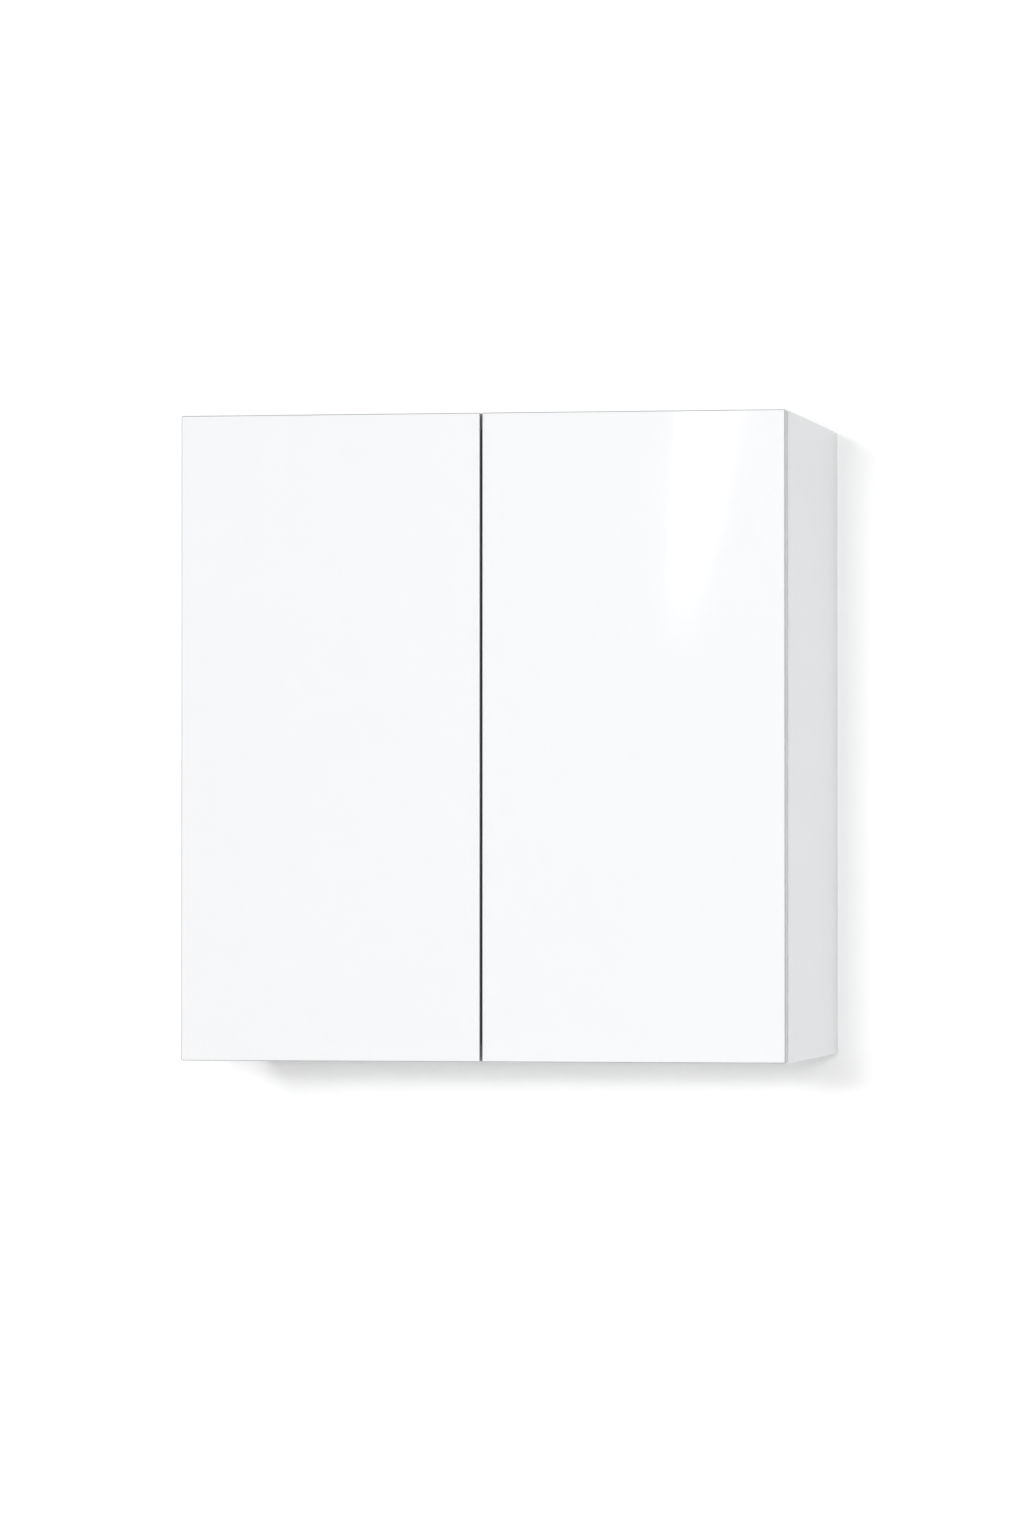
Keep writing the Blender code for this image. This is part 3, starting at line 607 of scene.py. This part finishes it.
class HingeFrame:
    """u inward from the side's outer face, v back from the carcass front, w up from the hinge's centre."""

    def __init__(self, level, side_name, side):
        self.side = side
        low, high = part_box("side_panel_" + side_name)
        self.outer = high.x if side > 0 else low.x
        self.front = low.y
        self.z = box_centre("hinge_pin_" + level + "_" + side_name).z

    def point(self, u, v, w=0.0):
        return Vector((self.outer - self.side * u, self.front + v, self.z + w))

    def plan(self, w):
        """Takes a drawing's (u, v) to the horizontal plane at w."""
        return Matrix(((-self.side, 0, 0, self.outer), (0, 1, 0, self.front), (0, 0, 1, self.z + w), (0, 0, 0, 1)))

    def face(self, v):
        """Takes a drawing's (u, w) to the plane parallel to the door at v."""
        return Matrix(((-self.side, 0, 0, self.outer), (0, 0, 1, self.front + v), (0, 1, 0, self.z), (0, 0, 0, 1)))


def flange_loops():
    near = math.degrees(math.acos((TAB_U + TAB_RADIUS - CUP_U) / FLANGE_RADIUS))
    far = math.degrees(math.acos((TAB_U - TAB_RADIUS - CUP_U) / FLANGE_RADIUS))
    outside = arc((CUP_U, 0.0), FLANGE_RADIUS, near, -near, 16)
    outside += arc((TAB_U, -TAB_W), TAB_RADIUS, 0, -180, 16)
    outside += arc((CUP_U, 0.0), FLANGE_RADIUS, 360 - far, far, 40)
    outside += arc((TAB_U, TAB_W), TAB_RADIUS, 180, 0, 16)
    holes = [circle((CUP_U, 0.0), CUP_INNER, 64)]
    holes += [circle((TAB_U, way * TAB_W), TAB_HOLE, 20) for way in (-1, 1)]
    return [outside] + holes


class CABINET_OT_hinges(bpy.types.Operator):
    """Make the cup hinges: pressed cups with pin ears, pins, arms and mounting plates"""

    bl_idname = "cabinet.hinges"
    bl_label = "Make the hinges"

    def execute(self, context):
        settings = settings_of(context)
        cup_metal = nickel_material("nickel_cup", (900, 900, 900))
        pin_metal = zinc_material("zinc_pin", (1500, 1500, 80))
        arm_metal = nickel_material("nickel_arm", (1800, 90, 1800))
        for side_name, side in SIDES:
            for level in LEVELS:
                self.make_cup(level, side_name, side, cup_metal)
                self.make_pin(level, side_name, side, pin_metal)
                for part in ("arm", "plate"):
                    dress("hinge_" + part + "_" + level + "_" + side_name, arm_metal,
                          settings.edge_radius)
        return {"FINISHED"}

    def make_cup(self, level, side_name, side, material):
        hinge = HingeFrame(level, side_name, side)
        mesh = bmesh.new()
        profile = [(CENTRE, CUP_UNDER_V), (CUP_OUTER - 0.0008, CUP_UNDER_V), (CUP_OUTER, CUP_UNDER_V + 0.0012),
                   (CUP_OUTER, RIM_V - 0.0004), (CUP_INNER, RIM_V - 0.0004), (CUP_INNER, CUP_FLOOR_V),
                   (CENTRE, CUP_FLOOR_V)]
        add_lathe(mesh, rounded(profile, 0.0009), axis_matrix(hinge.point(CUP_U, 0.0), (0, 1, 0)), 72)
        add_outline(mesh, flange_loops(), hinge.face(RIM_V - FLANGE_THICKNESS / 2), FLANGE_THICKNESS, 0.0002)
        ear = [(PIVOT_U - EAR_RADIUS, EAR_ROOT), (PIVOT_U + EAR_HEEL, EAR_ROOT)]
        ear += arc((PIVOT_U, PIVOT_V), EAR_RADIUS, 0, 180, 14)
        hole = circle((PIVOT_U, PIVOT_V), EAR_HOLE, 24)
        for way in (-1, 1):
            add_outline(mesh, [ear, hole], hinge.plan(way * EAR_W), EAR_THICKNESS, 0.0001)
        cup = mesh_object(mesh, "cup_" + level + "_" + side_name, material)
        place(cup, "door_" + side_name, "nickel_plated_steel", "hinge_cup_" + level + "_" + side_name)

    def make_pin(self, level, side_name, side, material):
        hinge = HingeFrame(level, side_name, side)
        low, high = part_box("hinge_pin_" + level + "_" + side_name)
        half = (high.z - low.z) / 2
        profile = [(CENTRE, -half), (PIN_RADIUS, -half), (PIN_RADIUS, half), (CENTRE, half)]
        pin = lathe_object("pin_" + level + "_" + side_name, rounded(profile, 0.0003), hinge.point(PIVOT_U, PIVOT_V),
                           (0, 0, 1), material, 32)
        place(pin, "door_" + side_name, "nickel_plated_steel", "hinge_pin_" + level + "_" + side_name)


COLLAR_STEP = 0.0012
COLLAR_START = 0.0003
COLLAR_END = 0.0011


class CABINET_OT_shelf_pins(bpy.types.Operator):
    """Turn the shelf pins"""

    bl_idname = "cabinet.shelf_pins"
    bl_label = "Turn the shelf pins"

    def execute(self, context):
        settings = settings_of(context)
        metal = nickel_material("nickel_pin", (1500, 200, 200))
        for level in LEVELS:
            for side_name, side in SIDES:
                for row in ("front", "rear"):
                    node = "shelf_pin_" + level + "_" + side_name + "_" + row
                    low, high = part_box(node)
                    length = high.x - low.x
                    collar = (high.z - low.z) / 2
                    shank = collar - COLLAR_STEP
                    outer = low.x if side < 0 else high.x
                    start = Vector((outer, (low.y + high.y) / 2, (low.z + high.z) / 2))
                    reach = length / 2
                    near = reach + COLLAR_START
                    far = reach + COLLAR_END
                    profile = [(CENTRE, 0.0), (shank, 0.0), (shank, near), (collar, near),
                               (collar, far), (shank, far), (shank, length), (CENTRE, length)]
                    pin = lathe_object("peg_" + level + "_" + side_name + "_" + row, rounded(profile, 0.0005), start,
                                       (-side, 0, 0), metal, settings.segments)
                    place(pin, "carcass", "nickel_plated_steel", node)
        return {"FINISHED"}


CAM_FACE = 0.0028            # thickness of the face that holds the recess
CAM_RECESS = (0.0034, 0.0008)
CAM_TURN = 20                # degrees, the first cam
CAM_TURN_STEP = 37           # degrees from each cam to the next


class CABINET_OT_cam_locks(bpy.types.Operator):
    """Cast the cam fasteners with a cross recess in each"""

    bl_idname = "cabinet.cam_locks"
    bl_label = "Cast the cam fasteners"

    def execute(self, context):
        settings = settings_of(context)
        metal = zinc_material("zinc_cast", (700, 700, 700))
        for level in ("bottom", "top"):
            for index, name in enumerate(("left_rear", "left_front", "right_rear", "right_front")):
                node = "cam_lock_" + level + "_" + name
                low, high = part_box(node)
                radius = (high.x - low.x) / 2
                centre = Vector(((low.x + high.x) / 2, (low.y + high.y) / 2, high.z))
                depth = high.z - low.z
                mesh = bmesh.new()
                profile = [(CENTRE, -depth), (radius, -depth), (radius, -CAM_FACE), (CENTRE, -CAM_FACE)]
                add_lathe(mesh, rounded(profile, 0.0005), axis_matrix(centre, (0, 0, 1)), settings.segments)
                turn = Matrix.Rotation(math.radians(CAM_TURN + CAM_TURN_STEP * index), 4, "Z")
                loops = [circle((0, 0), radius - 0.0001, settings.segments), cross(*CAM_RECESS)]
                middle = Matrix.Translation(centre - Vector((0, 0, CAM_FACE / 2)))
                add_outline(mesh, loops, middle @ turn, CAM_FACE, 0.00025)
                cam = mesh_object(mesh, "cam_" + level + "_" + name, metal)
                place(cam, "carcass", "zinc_plated_steel", node)
        return {"FINISHED"}


PLUNGER_RADIUS = 0.0040
PLUNGER_WAIST = 0.0037
STRIKE_RIM = 0.0060
STRIKE_DISH = 0.0002


def front_middle(low, high):
    return Vector(((low.x + high.x) / 2, low.y, (low.z + high.z) / 2))


class CABINET_OT_latches(bpy.types.Operator):
    """Mould the push latches with their plungers and strike plates"""

    bl_idname = "cabinet.latches"
    bl_label = "Mould the latches"

    def execute(self, context):
        settings = settings_of(context)
        white = plastic_material("white_moulding", (0.80, 0.80, 0.79, 1))
        grey = plastic_material("grey_moulding", (0.36, 0.37, 0.385, 1), 1600.0)
        metal = nickel_material("nickel_strike", (700, 700, 700))
        for side_name, _ in SIDES:
            dress("latch_housing_" + side_name, white, 0.0003)
            low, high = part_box("latch_plunger_" + side_name)
            tip = (high.x - low.x) / 2
            length = high.y - low.y
            profile = [(CENTRE, 0.00025), (tip - 0.0016, 0.00025), (tip - 0.0012, 0.0), (tip, 0.0), (tip, 0.0014),
                       (PLUNGER_RADIUS, 0.0018), (PLUNGER_RADIUS, 0.0060), (PLUNGER_WAIST, 0.0064),
                       (PLUNGER_WAIST, 0.0078), (PLUNGER_RADIUS, 0.0082), (PLUNGER_RADIUS, length),
                       (CENTRE, length)]
            plunger = lathe_object("plunger_" + side_name, rounded(profile, 0.0004), front_middle(low, high),
                                   (0, 1, 0), grey, settings.segments)
            place(plunger, "plunger_" + side_name, "grey_plastic", "latch_plunger_" + side_name)
            low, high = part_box("strike_plate_" + side_name)
            radius = (high.x - low.x) / 2
            thick = high.y - low.y
            profile = [(CENTRE, 0.0), (radius, 0.0), (radius, thick), (STRIKE_RIM, thick),
                       (STRIKE_RIM - 0.0004, thick - STRIKE_DISH), (CENTRE, thick - STRIKE_DISH)]
            strike = lathe_object("strike_" + side_name, rounded(profile, 0.0002), front_middle(low, high),
                                  (0, 1, 0), metal, 64)
            place(strike, "door_" + side_name, "nickel_plated_steel", "strike_plate_" + side_name)
        return {"FINISHED"}


class CABINET_OT_hanging(bpy.types.Operator):
    """Finish the hanging rail, the hooks and their housings"""

    bl_idname = "cabinet.hanging"
    bl_label = "Finish the hanging hardware"

    def execute(self, context):
        settings = settings_of(context)
        dress("wall_rail", zinc_material("zinc_rail", (30, 1500, 1500)), 0.0002)
        hook_metal = zinc_material("zinc_hook", (1500, 60, 1500))
        white = plastic_material("white_housing", (0.80, 0.80, 0.79, 1))
        for side_name, _ in SIDES:
            dress("hanger_hook_" + side_name, hook_metal, settings.edge_radius)
            dress("hanger_housing_" + side_name, white, 0.0003)
        return {"FINISHED"}


# ---------------------------------------------------------------- screws, repeated with geometry nodes
SKIRT = 0.0005               # thickness of a screw head's lower edge
CROWN = 0.0010               # thickness of its rounded top
CROWN_MIDDLE = 0.0009
ARM_SCREW_SIZE = 0.85        # of the adjusting screw, next to the plate screws
HANGER_SCREW_SIZE = 1.05
RAIL_SCREW_SIZE = 1.35
RAIL_SCREWS = 6
RAIL_SCREW_PITCH = 0.080
RAIL_THICKNESS = 0.0015
HANGER_SCREW_OUT = 0.0065
HANGER_SCREW_BACK = 0.0045
HANGER_SCREW_UP = 0.018      # from the housing's lower end
HANGER_SCREW_DOWN = 0.014    # from its upper end


def screw_head(settings, material):
    """A pan head with a cross recess, its seat at the origin and its top along +Z."""
    radius = settings.screw_radius
    mesh = bmesh.new()
    profile = [(CENTRE, 0.0), (radius, 0.0), (radius, SKIRT), (CENTRE, SKIRT)]
    add_lathe(mesh, profile, Matrix.Identity(4), 32)
    loops = [circle((0, 0), radius, 32), cross(radius * 0.52, radius * 0.13)]
    add_outline(mesh, loops, Matrix.Translation((0, 0, CROWN_MIDDLE)), CROWN, 0.00035)
    return mesh_object(mesh, "screw_head", material, 50)


def scatter_group():
    """Puts one object on every point, its +Z along the point's facing, turned at random about it."""
    tree = bpy.data.node_groups.new("Screws on points", "GeometryNodeTree")
    tree.is_modifier = True
    tree.interface.new_socket("Geometry", in_out="INPUT", socket_type="NodeSocketGeometry")
    tree.interface.new_socket("Screw", in_out="INPUT", socket_type="NodeSocketObject")
    tree.interface.new_socket("Material", in_out="INPUT", socket_type="NodeSocketMaterial")
    tree.interface.new_socket("Seed", in_out="INPUT", socket_type="NodeSocketInt")
    tree.interface.new_socket("Geometry", in_out="OUTPUT", socket_type="NodeSocketGeometry")
    n = Nodes(tree)
    source = n.add("NodeGroupInput").outputs
    target = n.add("NodeGroupOutput").inputs
    facing = n.add("GeometryNodeInputNamedAttribute", data_type="FLOAT_VECTOR")
    facing.inputs["Name"].default_value = "facing"
    size = n.add("GeometryNodeInputNamedAttribute", data_type="FLOAT")
    size.inputs["Name"].default_value = "size"
    align = n.add("FunctionNodeAlignRotationToVector", axis="Z")
    n.link(next(s for s in facing.outputs if s.enabled and s.name == "Attribute"), align.inputs["Vector"])
    angle = n.add("FunctionNodeRandomValue", data_type="FLOAT")
    enabled = [s for s in angle.inputs if s.enabled]
    enabled[0].default_value = 0.0
    enabled[1].default_value = math.pi / 2
    n.link(source["Seed"], next(s for s in enabled if s.name == "Seed"))
    spin = n.add("FunctionNodeAxisAngleToRotation")
    spin.inputs["Axis"].default_value = (0, 0, 1)
    n.link(next(s for s in angle.outputs if s.enabled), spin.inputs["Angle"])
    turn = n.add("FunctionNodeRotateRotation", rotation_space="LOCAL")
    n.link(align.outputs[0], turn.inputs["Rotation"])
    n.link(spin.outputs[0], turn.inputs["Rotate By"])
    info = n.add("GeometryNodeObjectInfo")
    n.link(source["Screw"], info.inputs["Object"])
    put = n.add("GeometryNodeInstanceOnPoints")
    n.link(source["Geometry"], put.inputs["Points"])
    n.link(info.outputs["Geometry"], put.inputs["Instance"])
    n.link(turn.outputs[0], put.inputs["Rotation"])
    n.link(next(s for s in size.outputs if s.enabled and s.name == "Attribute"), put.inputs["Scale"])
    real = n.add("GeometryNodeRealizeInstances")
    n.link(put.outputs[0], real.inputs[0])
    paint = n.add("GeometryNodeSetMaterial")
    n.link(real.outputs[0], paint.inputs["Geometry"])
    n.link(source["Material"], paint.inputs["Material"])
    n.link(paint.outputs[0], target[0])
    return tree


def scatter(name, places, screw, tree, material, seed):
    """A plain mesh with a screw at each (point, facing, size)."""
    data = bpy.data.meshes.new(name + "_points")
    data.from_pydata([tuple(point) for point, _, _ in places], [], [])
    data.attributes.new("facing", "FLOAT_VECTOR", "POINT")
    data.attributes.new("size", "FLOAT", "POINT")
    data.attributes["facing"].data.foreach_set("vector", [c for _, way, _ in places for c in way])
    data.attributes["size"].data.foreach_set("value", [scale for _, _, scale in places])
    points = link_object(name + "_points", data)
    modifier = points.modifiers.new("screws", "NODES")
    modifier.node_group = tree
    values = {"Screw": screw, "Material": material, "Seed": seed}
    for socket in tree.interface.items_tree:
        if socket.item_type == "SOCKET" and socket.in_out == "INPUT" and socket.name in values:
            modifier[socket.identifier] = values[socket.name]
    bpy.context.view_layer.update()
    shown = points.evaluated_get(bpy.context.evaluated_depsgraph_get())
    made = bpy.data.meshes.new_from_object(shown)
    made.name = name
    points.modifiers.remove(modifier)
    bpy.data.objects.remove(points, do_unlink=True)
    if not made.vertices:
        raise RuntimeError("no screws were made for " + name)
    if not made.materials:
        made.materials.append(material)
    return link_object(name, made)


class CABINET_OT_screws(bpy.types.Operator):
    """Drive the screws of the hinges, plates, rail and hangers"""

    bl_idname = "cabinet.screws"
    bl_label = "Drive the screws"

    def execute(self, context):
        settings = settings_of(context)
        metal = nickel_material("nickel_screw", (600, 600, 600))
        screw = screw_head(settings, metal)
        tree = scatter_group()
        carcass = []
        for seed, (side_name, side) in enumerate(SIDES):
            on_door = []
            for level in LEVELS:
                hinge = HingeFrame(level, side_name, side)
                for way in (-1, 1):
                    on_door.append((hinge.point(TAB_U, RIM_V, way * TAB_W), (0, 1, 0), 1.0))
                    seat = hinge.point(PLATE_TOP_U, PLATE_SCREW_V, way * PLATE_SCREW_W)
                    carcass.append((seat, (-side, 0, 0), 1.0))
                carcass.append((hinge.point(ARM_TOP_U, ARM_REAR_V), (-side, 0, 0), 1.0))
                carcass.append((hinge.point(ARM_TOP_U, ARM_FRONT_V), (-side, 0, 0), ARM_SCREW_SIZE))
            door_screws = scatter("door_screws_" + side_name, on_door, screw, tree, metal, seed + 3)
            place(door_screws, "door_" + side_name, "nickel_plated_steel")
            low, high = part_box("hanger_housing_" + side_name)
            middle = (low.x + high.x) / 2 + side * HANGER_SCREW_OUT
            for z in (low.z + HANGER_SCREW_UP, high.z - HANGER_SCREW_DOWN):
                carcass.append((Vector((middle, low.y + HANGER_SCREW_BACK, z)), (0, -1, 0), HANGER_SCREW_SIZE))
        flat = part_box("wall_rail")[1].y - RAIL_THICKNESS
        for k in range(RAIL_SCREWS):
            x = (k + 0.5 - RAIL_SCREWS / 2) * RAIL_SCREW_PITCH
            carcass.append((Vector((x, flat, 0.0)), (0, -1, 0), RAIL_SCREW_SIZE))
        place(scatter("carcass_screws", carcass, screw, tree, metal, 11), "carcass", "nickel_plated_steel")
        bpy.data.objects.remove(screw, do_unlink=True)
        return {"FINISHED"}


# ---------------------------------------------------------------- studio
WALL_Y = 0.0008
WALL_TOP = 5
FLOOR_Z = -1.5
FLOOR_FRONT = -12
FLOOR_REAR = 7
HALF_WIDTH = 7
MIDDLE = (0.0, -0.2, -0.27)  # where the lights aim
FRONT_Y = -10.0              # how far in front the four main lights stand
STRIP_Y = -3.0
STRIP_CORNERS = ((-0.2284, -0.129), (-0.1849, -0.1292), (-0.1137, 0.262), (-0.1981, 0.262))
STRIP_FADE = (0.13, -0.15)   # heights at which the strip is fully lit and dark
REAR_SPREAD = math.radians(20)
SENSOR_WIDTH = 36.0
CLIP_END = 60.0


def see_through_from_behind(n, shader, output, lets_light_in):
    """The surface shows its front only. Where lets_light_in is true, it holds back no light either."""
    clear = n.add("ShaderNodeBsdfTransparent")
    swap = n.add("ShaderNodeMixShader")
    behind = n.add("ShaderNodeNewGeometry").outputs["Backfacing"]
    if lets_light_in:
        behind = n.math("MAXIMUM", behind, n.add("ShaderNodeLightPath").outputs["Is Shadow Ray"])
    n.link(behind, swap.inputs["Fac"])
    n.link(shader.outputs[0], swap.inputs[1])
    n.link(clear.outputs[0], swap.inputs[2])
    n.link(swap.outputs[0], output.inputs["Surface"])


def paint_material(name, dark, pale, cloud_size, roughness, lets_light_in=False):
    """Matt paint with slow clouds from dark to pale, seen from its front only."""
    material = bpy.data.materials.new(name)
    material.use_nodes = True
    n = Nodes(material.node_tree)
    shader = node_of(material, "BSDF_PRINCIPLED")
    output = node_of(material, "OUTPUT_MATERIAL")
    where = n.here()
    n.link(n.mix(n.noise(where, cloud_size, 2.0), dark, pale), shader.inputs["Base Color"])
    shader.inputs["Roughness"].default_value = roughness
    shader.inputs["Specular IOR Level"].default_value = 0.1
    see_through_from_behind(n, shader, output, lets_light_in)
    return material


def strip_material(strength, bright_z, dark_z):
    """An even glow above bright_z that fades out towards dark_z."""
    material = bpy.data.materials.new("studio_strip")
    material.use_nodes = True
    tree = material.node_tree
    tree.nodes.clear()
    n = Nodes(tree)
    output = n.add("ShaderNodeOutputMaterial")
    glow = n.add("ShaderNodeEmission")
    height = n.parts(n.here())["Z"]
    fade = n.add("ShaderNodeMapRange", interpolation_type="SMOOTHSTEP")
    fade.inputs["From Min"].default_value = dark_z
    fade.inputs["From Max"].default_value = bright_z
    fade.inputs["To Max"].default_value = strength
    n.link(height, fade.inputs["Value"])
    n.link(fade.outputs[0], glow.inputs["Strength"])
    n.link(glow.outputs[0], output.inputs["Surface"])
    return material


def flat_object(name, corners, material):
    data = bpy.data.meshes.new(name)
    data.from_pydata(corners, [], [tuple(range(len(corners)))])
    data.materials.append(material)
    return link_object(name, data)


def area_light(name, place_at, size, power):
    data = bpy.data.lights.new(name, "AREA")
    data.shape = "RECTANGLE"
    data.size, data.size_y = size
    data.energy = power
    obj = link_object(name, data)
    obj.location = place_at
    obj.rotation_euler = (Vector(MIDDLE) - Vector(place_at)).to_track_quat("-Z", "Y").to_euler()
    obj.visible_camera = False
    return obj


class CABINET_OT_studio(bpy.types.Operator):
    """Build the wall, floor, lights and camera"""

    bl_idname = "cabinet.studio"
    bl_label = "Build the studio"

    def execute(self, context):
        studio = context.scene.cabinet_studio
        wall = self.make_wall(studio)
        floor = self.make_floor()
        strip = self.make_strip(studio)
        lights = self.make_lights(studio)
        self.light_surroundings(context, studio)
        camera = self.make_camera(context, studio)
        return {"FINISHED"}

    def make_wall(self, studio):
        corners = [(-HALF_WIDTH, WALL_Y, FLOOR_Z), (HALF_WIDTH, WALL_Y, FLOOR_Z), (HALF_WIDTH, WALL_Y, WALL_TOP),
                   (-HALF_WIDTH, WALL_Y, WALL_TOP)]
        paint = paint_material("studio_wall", opaque(studio.wall_colour), (0.952, 0.952, 0.952, 1), 1.3, 0.9,
                               lets_light_in=True)
        return flat_object("studio_wall", corners, paint)

    def make_floor(self):
        corners = [(-HALF_WIDTH, FLOOR_FRONT, FLOOR_Z), (HALF_WIDTH, FLOOR_FRONT, FLOOR_Z),
                   (HALF_WIDTH, FLOOR_REAR, FLOOR_Z), (-HALF_WIDTH, FLOOR_REAR, FLOOR_Z)]
        paint = paint_material("studio_floor", (0.86, 0.86, 0.86, 1), (0.90, 0.90, 0.90, 1), 2.0, 0.8)
        return flat_object("studio_floor", corners, paint)

    def make_strip(self, studio):
        """A lit strip in the room, seen only in reflections."""
        strip = flat_object("studio_strip", [(x, STRIP_Y, z) for x, z in STRIP_CORNERS],
                            strip_material(studio.streak_strength, *STRIP_FADE))
        strip.visible_camera = False
        strip.visible_diffuse = False
        strip.visible_shadow = False
        return strip

    def make_lights(self, studio):
        """Four lights far in front, one at the side and a narrow one behind the wall."""
        front = [
            area_light("key_light", (-0.9, FRONT_Y, 0.55), (1.0, 0.9), studio.key_power),
            area_light("level_light", (0.9, FRONT_Y, -0.2), (1.2, 0.9), studio.level_power),
            area_light("high_light", (0.2, FRONT_Y, 1.1), (1.0, 1.2), studio.high_power),
            area_light("small_light", (-0.2, FRONT_Y, 0.25), (0.5, 0.5), studio.small_power),
        ]
        for light in front:
            light.visible_glossy = False
        side = area_light("side_light", (3.6, -2.6, 0.8), (1.6, 2.2), studio.fill_power)
        rear = area_light("rear_light", (-1.8, 4.2, 1.6), (0.8, 0.8), studio.rear_power)
        rear.data.spread = REAR_SPREAD
        return front + [side, rear]

    def light_surroundings(self, context, studio):
        world = bpy.data.worlds.new("studio_world")
        world.use_nodes = True
        background = node_of(world, "BACKGROUND")
        background.inputs["Color"].default_value = (1.0, 1.0, 1.0, 1)
        background.inputs["Strength"].default_value = studio.world_strength
        context.scene.world = world
        context.scene.view_settings.view_transform = "Standard"

    def make_camera(self, context, studio):
        data = bpy.data.cameras.new("camera")
        data.lens = studio.lens
        data.sensor_width = SENSOR_WIDTH
        data.sensor_fit = "AUTO"
        data.clip_end = CLIP_END
        camera = link_object("camera", data)
        camera.location = studio.camera
        camera.rotation_euler = (math.pi / 2 + studio.camera_pitch, 0.0, studio.camera_yaw)
        context.scene.camera = camera
        return camera


class CABINET_PT_panel(bpy.types.Panel):
    """Buttons and settings of the cabinet"""

    bl_idname = "CABINET_PT_panel"
    bl_label = "Wall cabinet"
    bl_space_type = "VIEW_3D"
    bl_region_type = "UI"
    bl_category = "Cabinet"

    def draw(self, context):
        for group in (context.scene.cabinet_settings, context.scene.cabinet_studio):
            column = self.layout.column()
            for name in group.__annotations__:
                column.prop(group, name)
        for operator in OPERATORS:
            self.layout.operator(operator.bl_idname)


OPERATORS = (CABINET_OT_boards, CABINET_OT_doors, CABINET_OT_hinges, CABINET_OT_shelf_pins, CABINET_OT_cam_locks,
             CABINET_OT_latches, CABINET_OT_hanging, CABINET_OT_screws, CABINET_OT_studio)
CLASSES = (CabinetSettings, StudioSettings) + OPERATORS + (CABINET_PT_panel,)


def register():
    for cls in CLASSES:
        bpy.utils.register_class(cls)
    bpy.types.Scene.cabinet_settings = bpy.props.PointerProperty(type=CabinetSettings)
    bpy.types.Scene.cabinet_studio = bpy.props.PointerProperty(type=StudioSettings)


def unregister():
    del bpy.types.Scene.cabinet_studio
    del bpy.types.Scene.cabinet_settings
    for cls in reversed(CLASSES):
        bpy.utils.unregister_class(cls)


def main():
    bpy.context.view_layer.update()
    register()
    bpy.ops.cabinet.boards()
    bpy.ops.cabinet.doors()
    bpy.ops.cabinet.hinges()
    bpy.ops.cabinet.shelf_pins()
    bpy.ops.cabinet.cam_locks()
    bpy.ops.cabinet.latches()
    bpy.ops.cabinet.hanging()
    bpy.ops.cabinet.screws()
    bpy.ops.cabinet.studio()


if __name__ == "__main__":
    main()
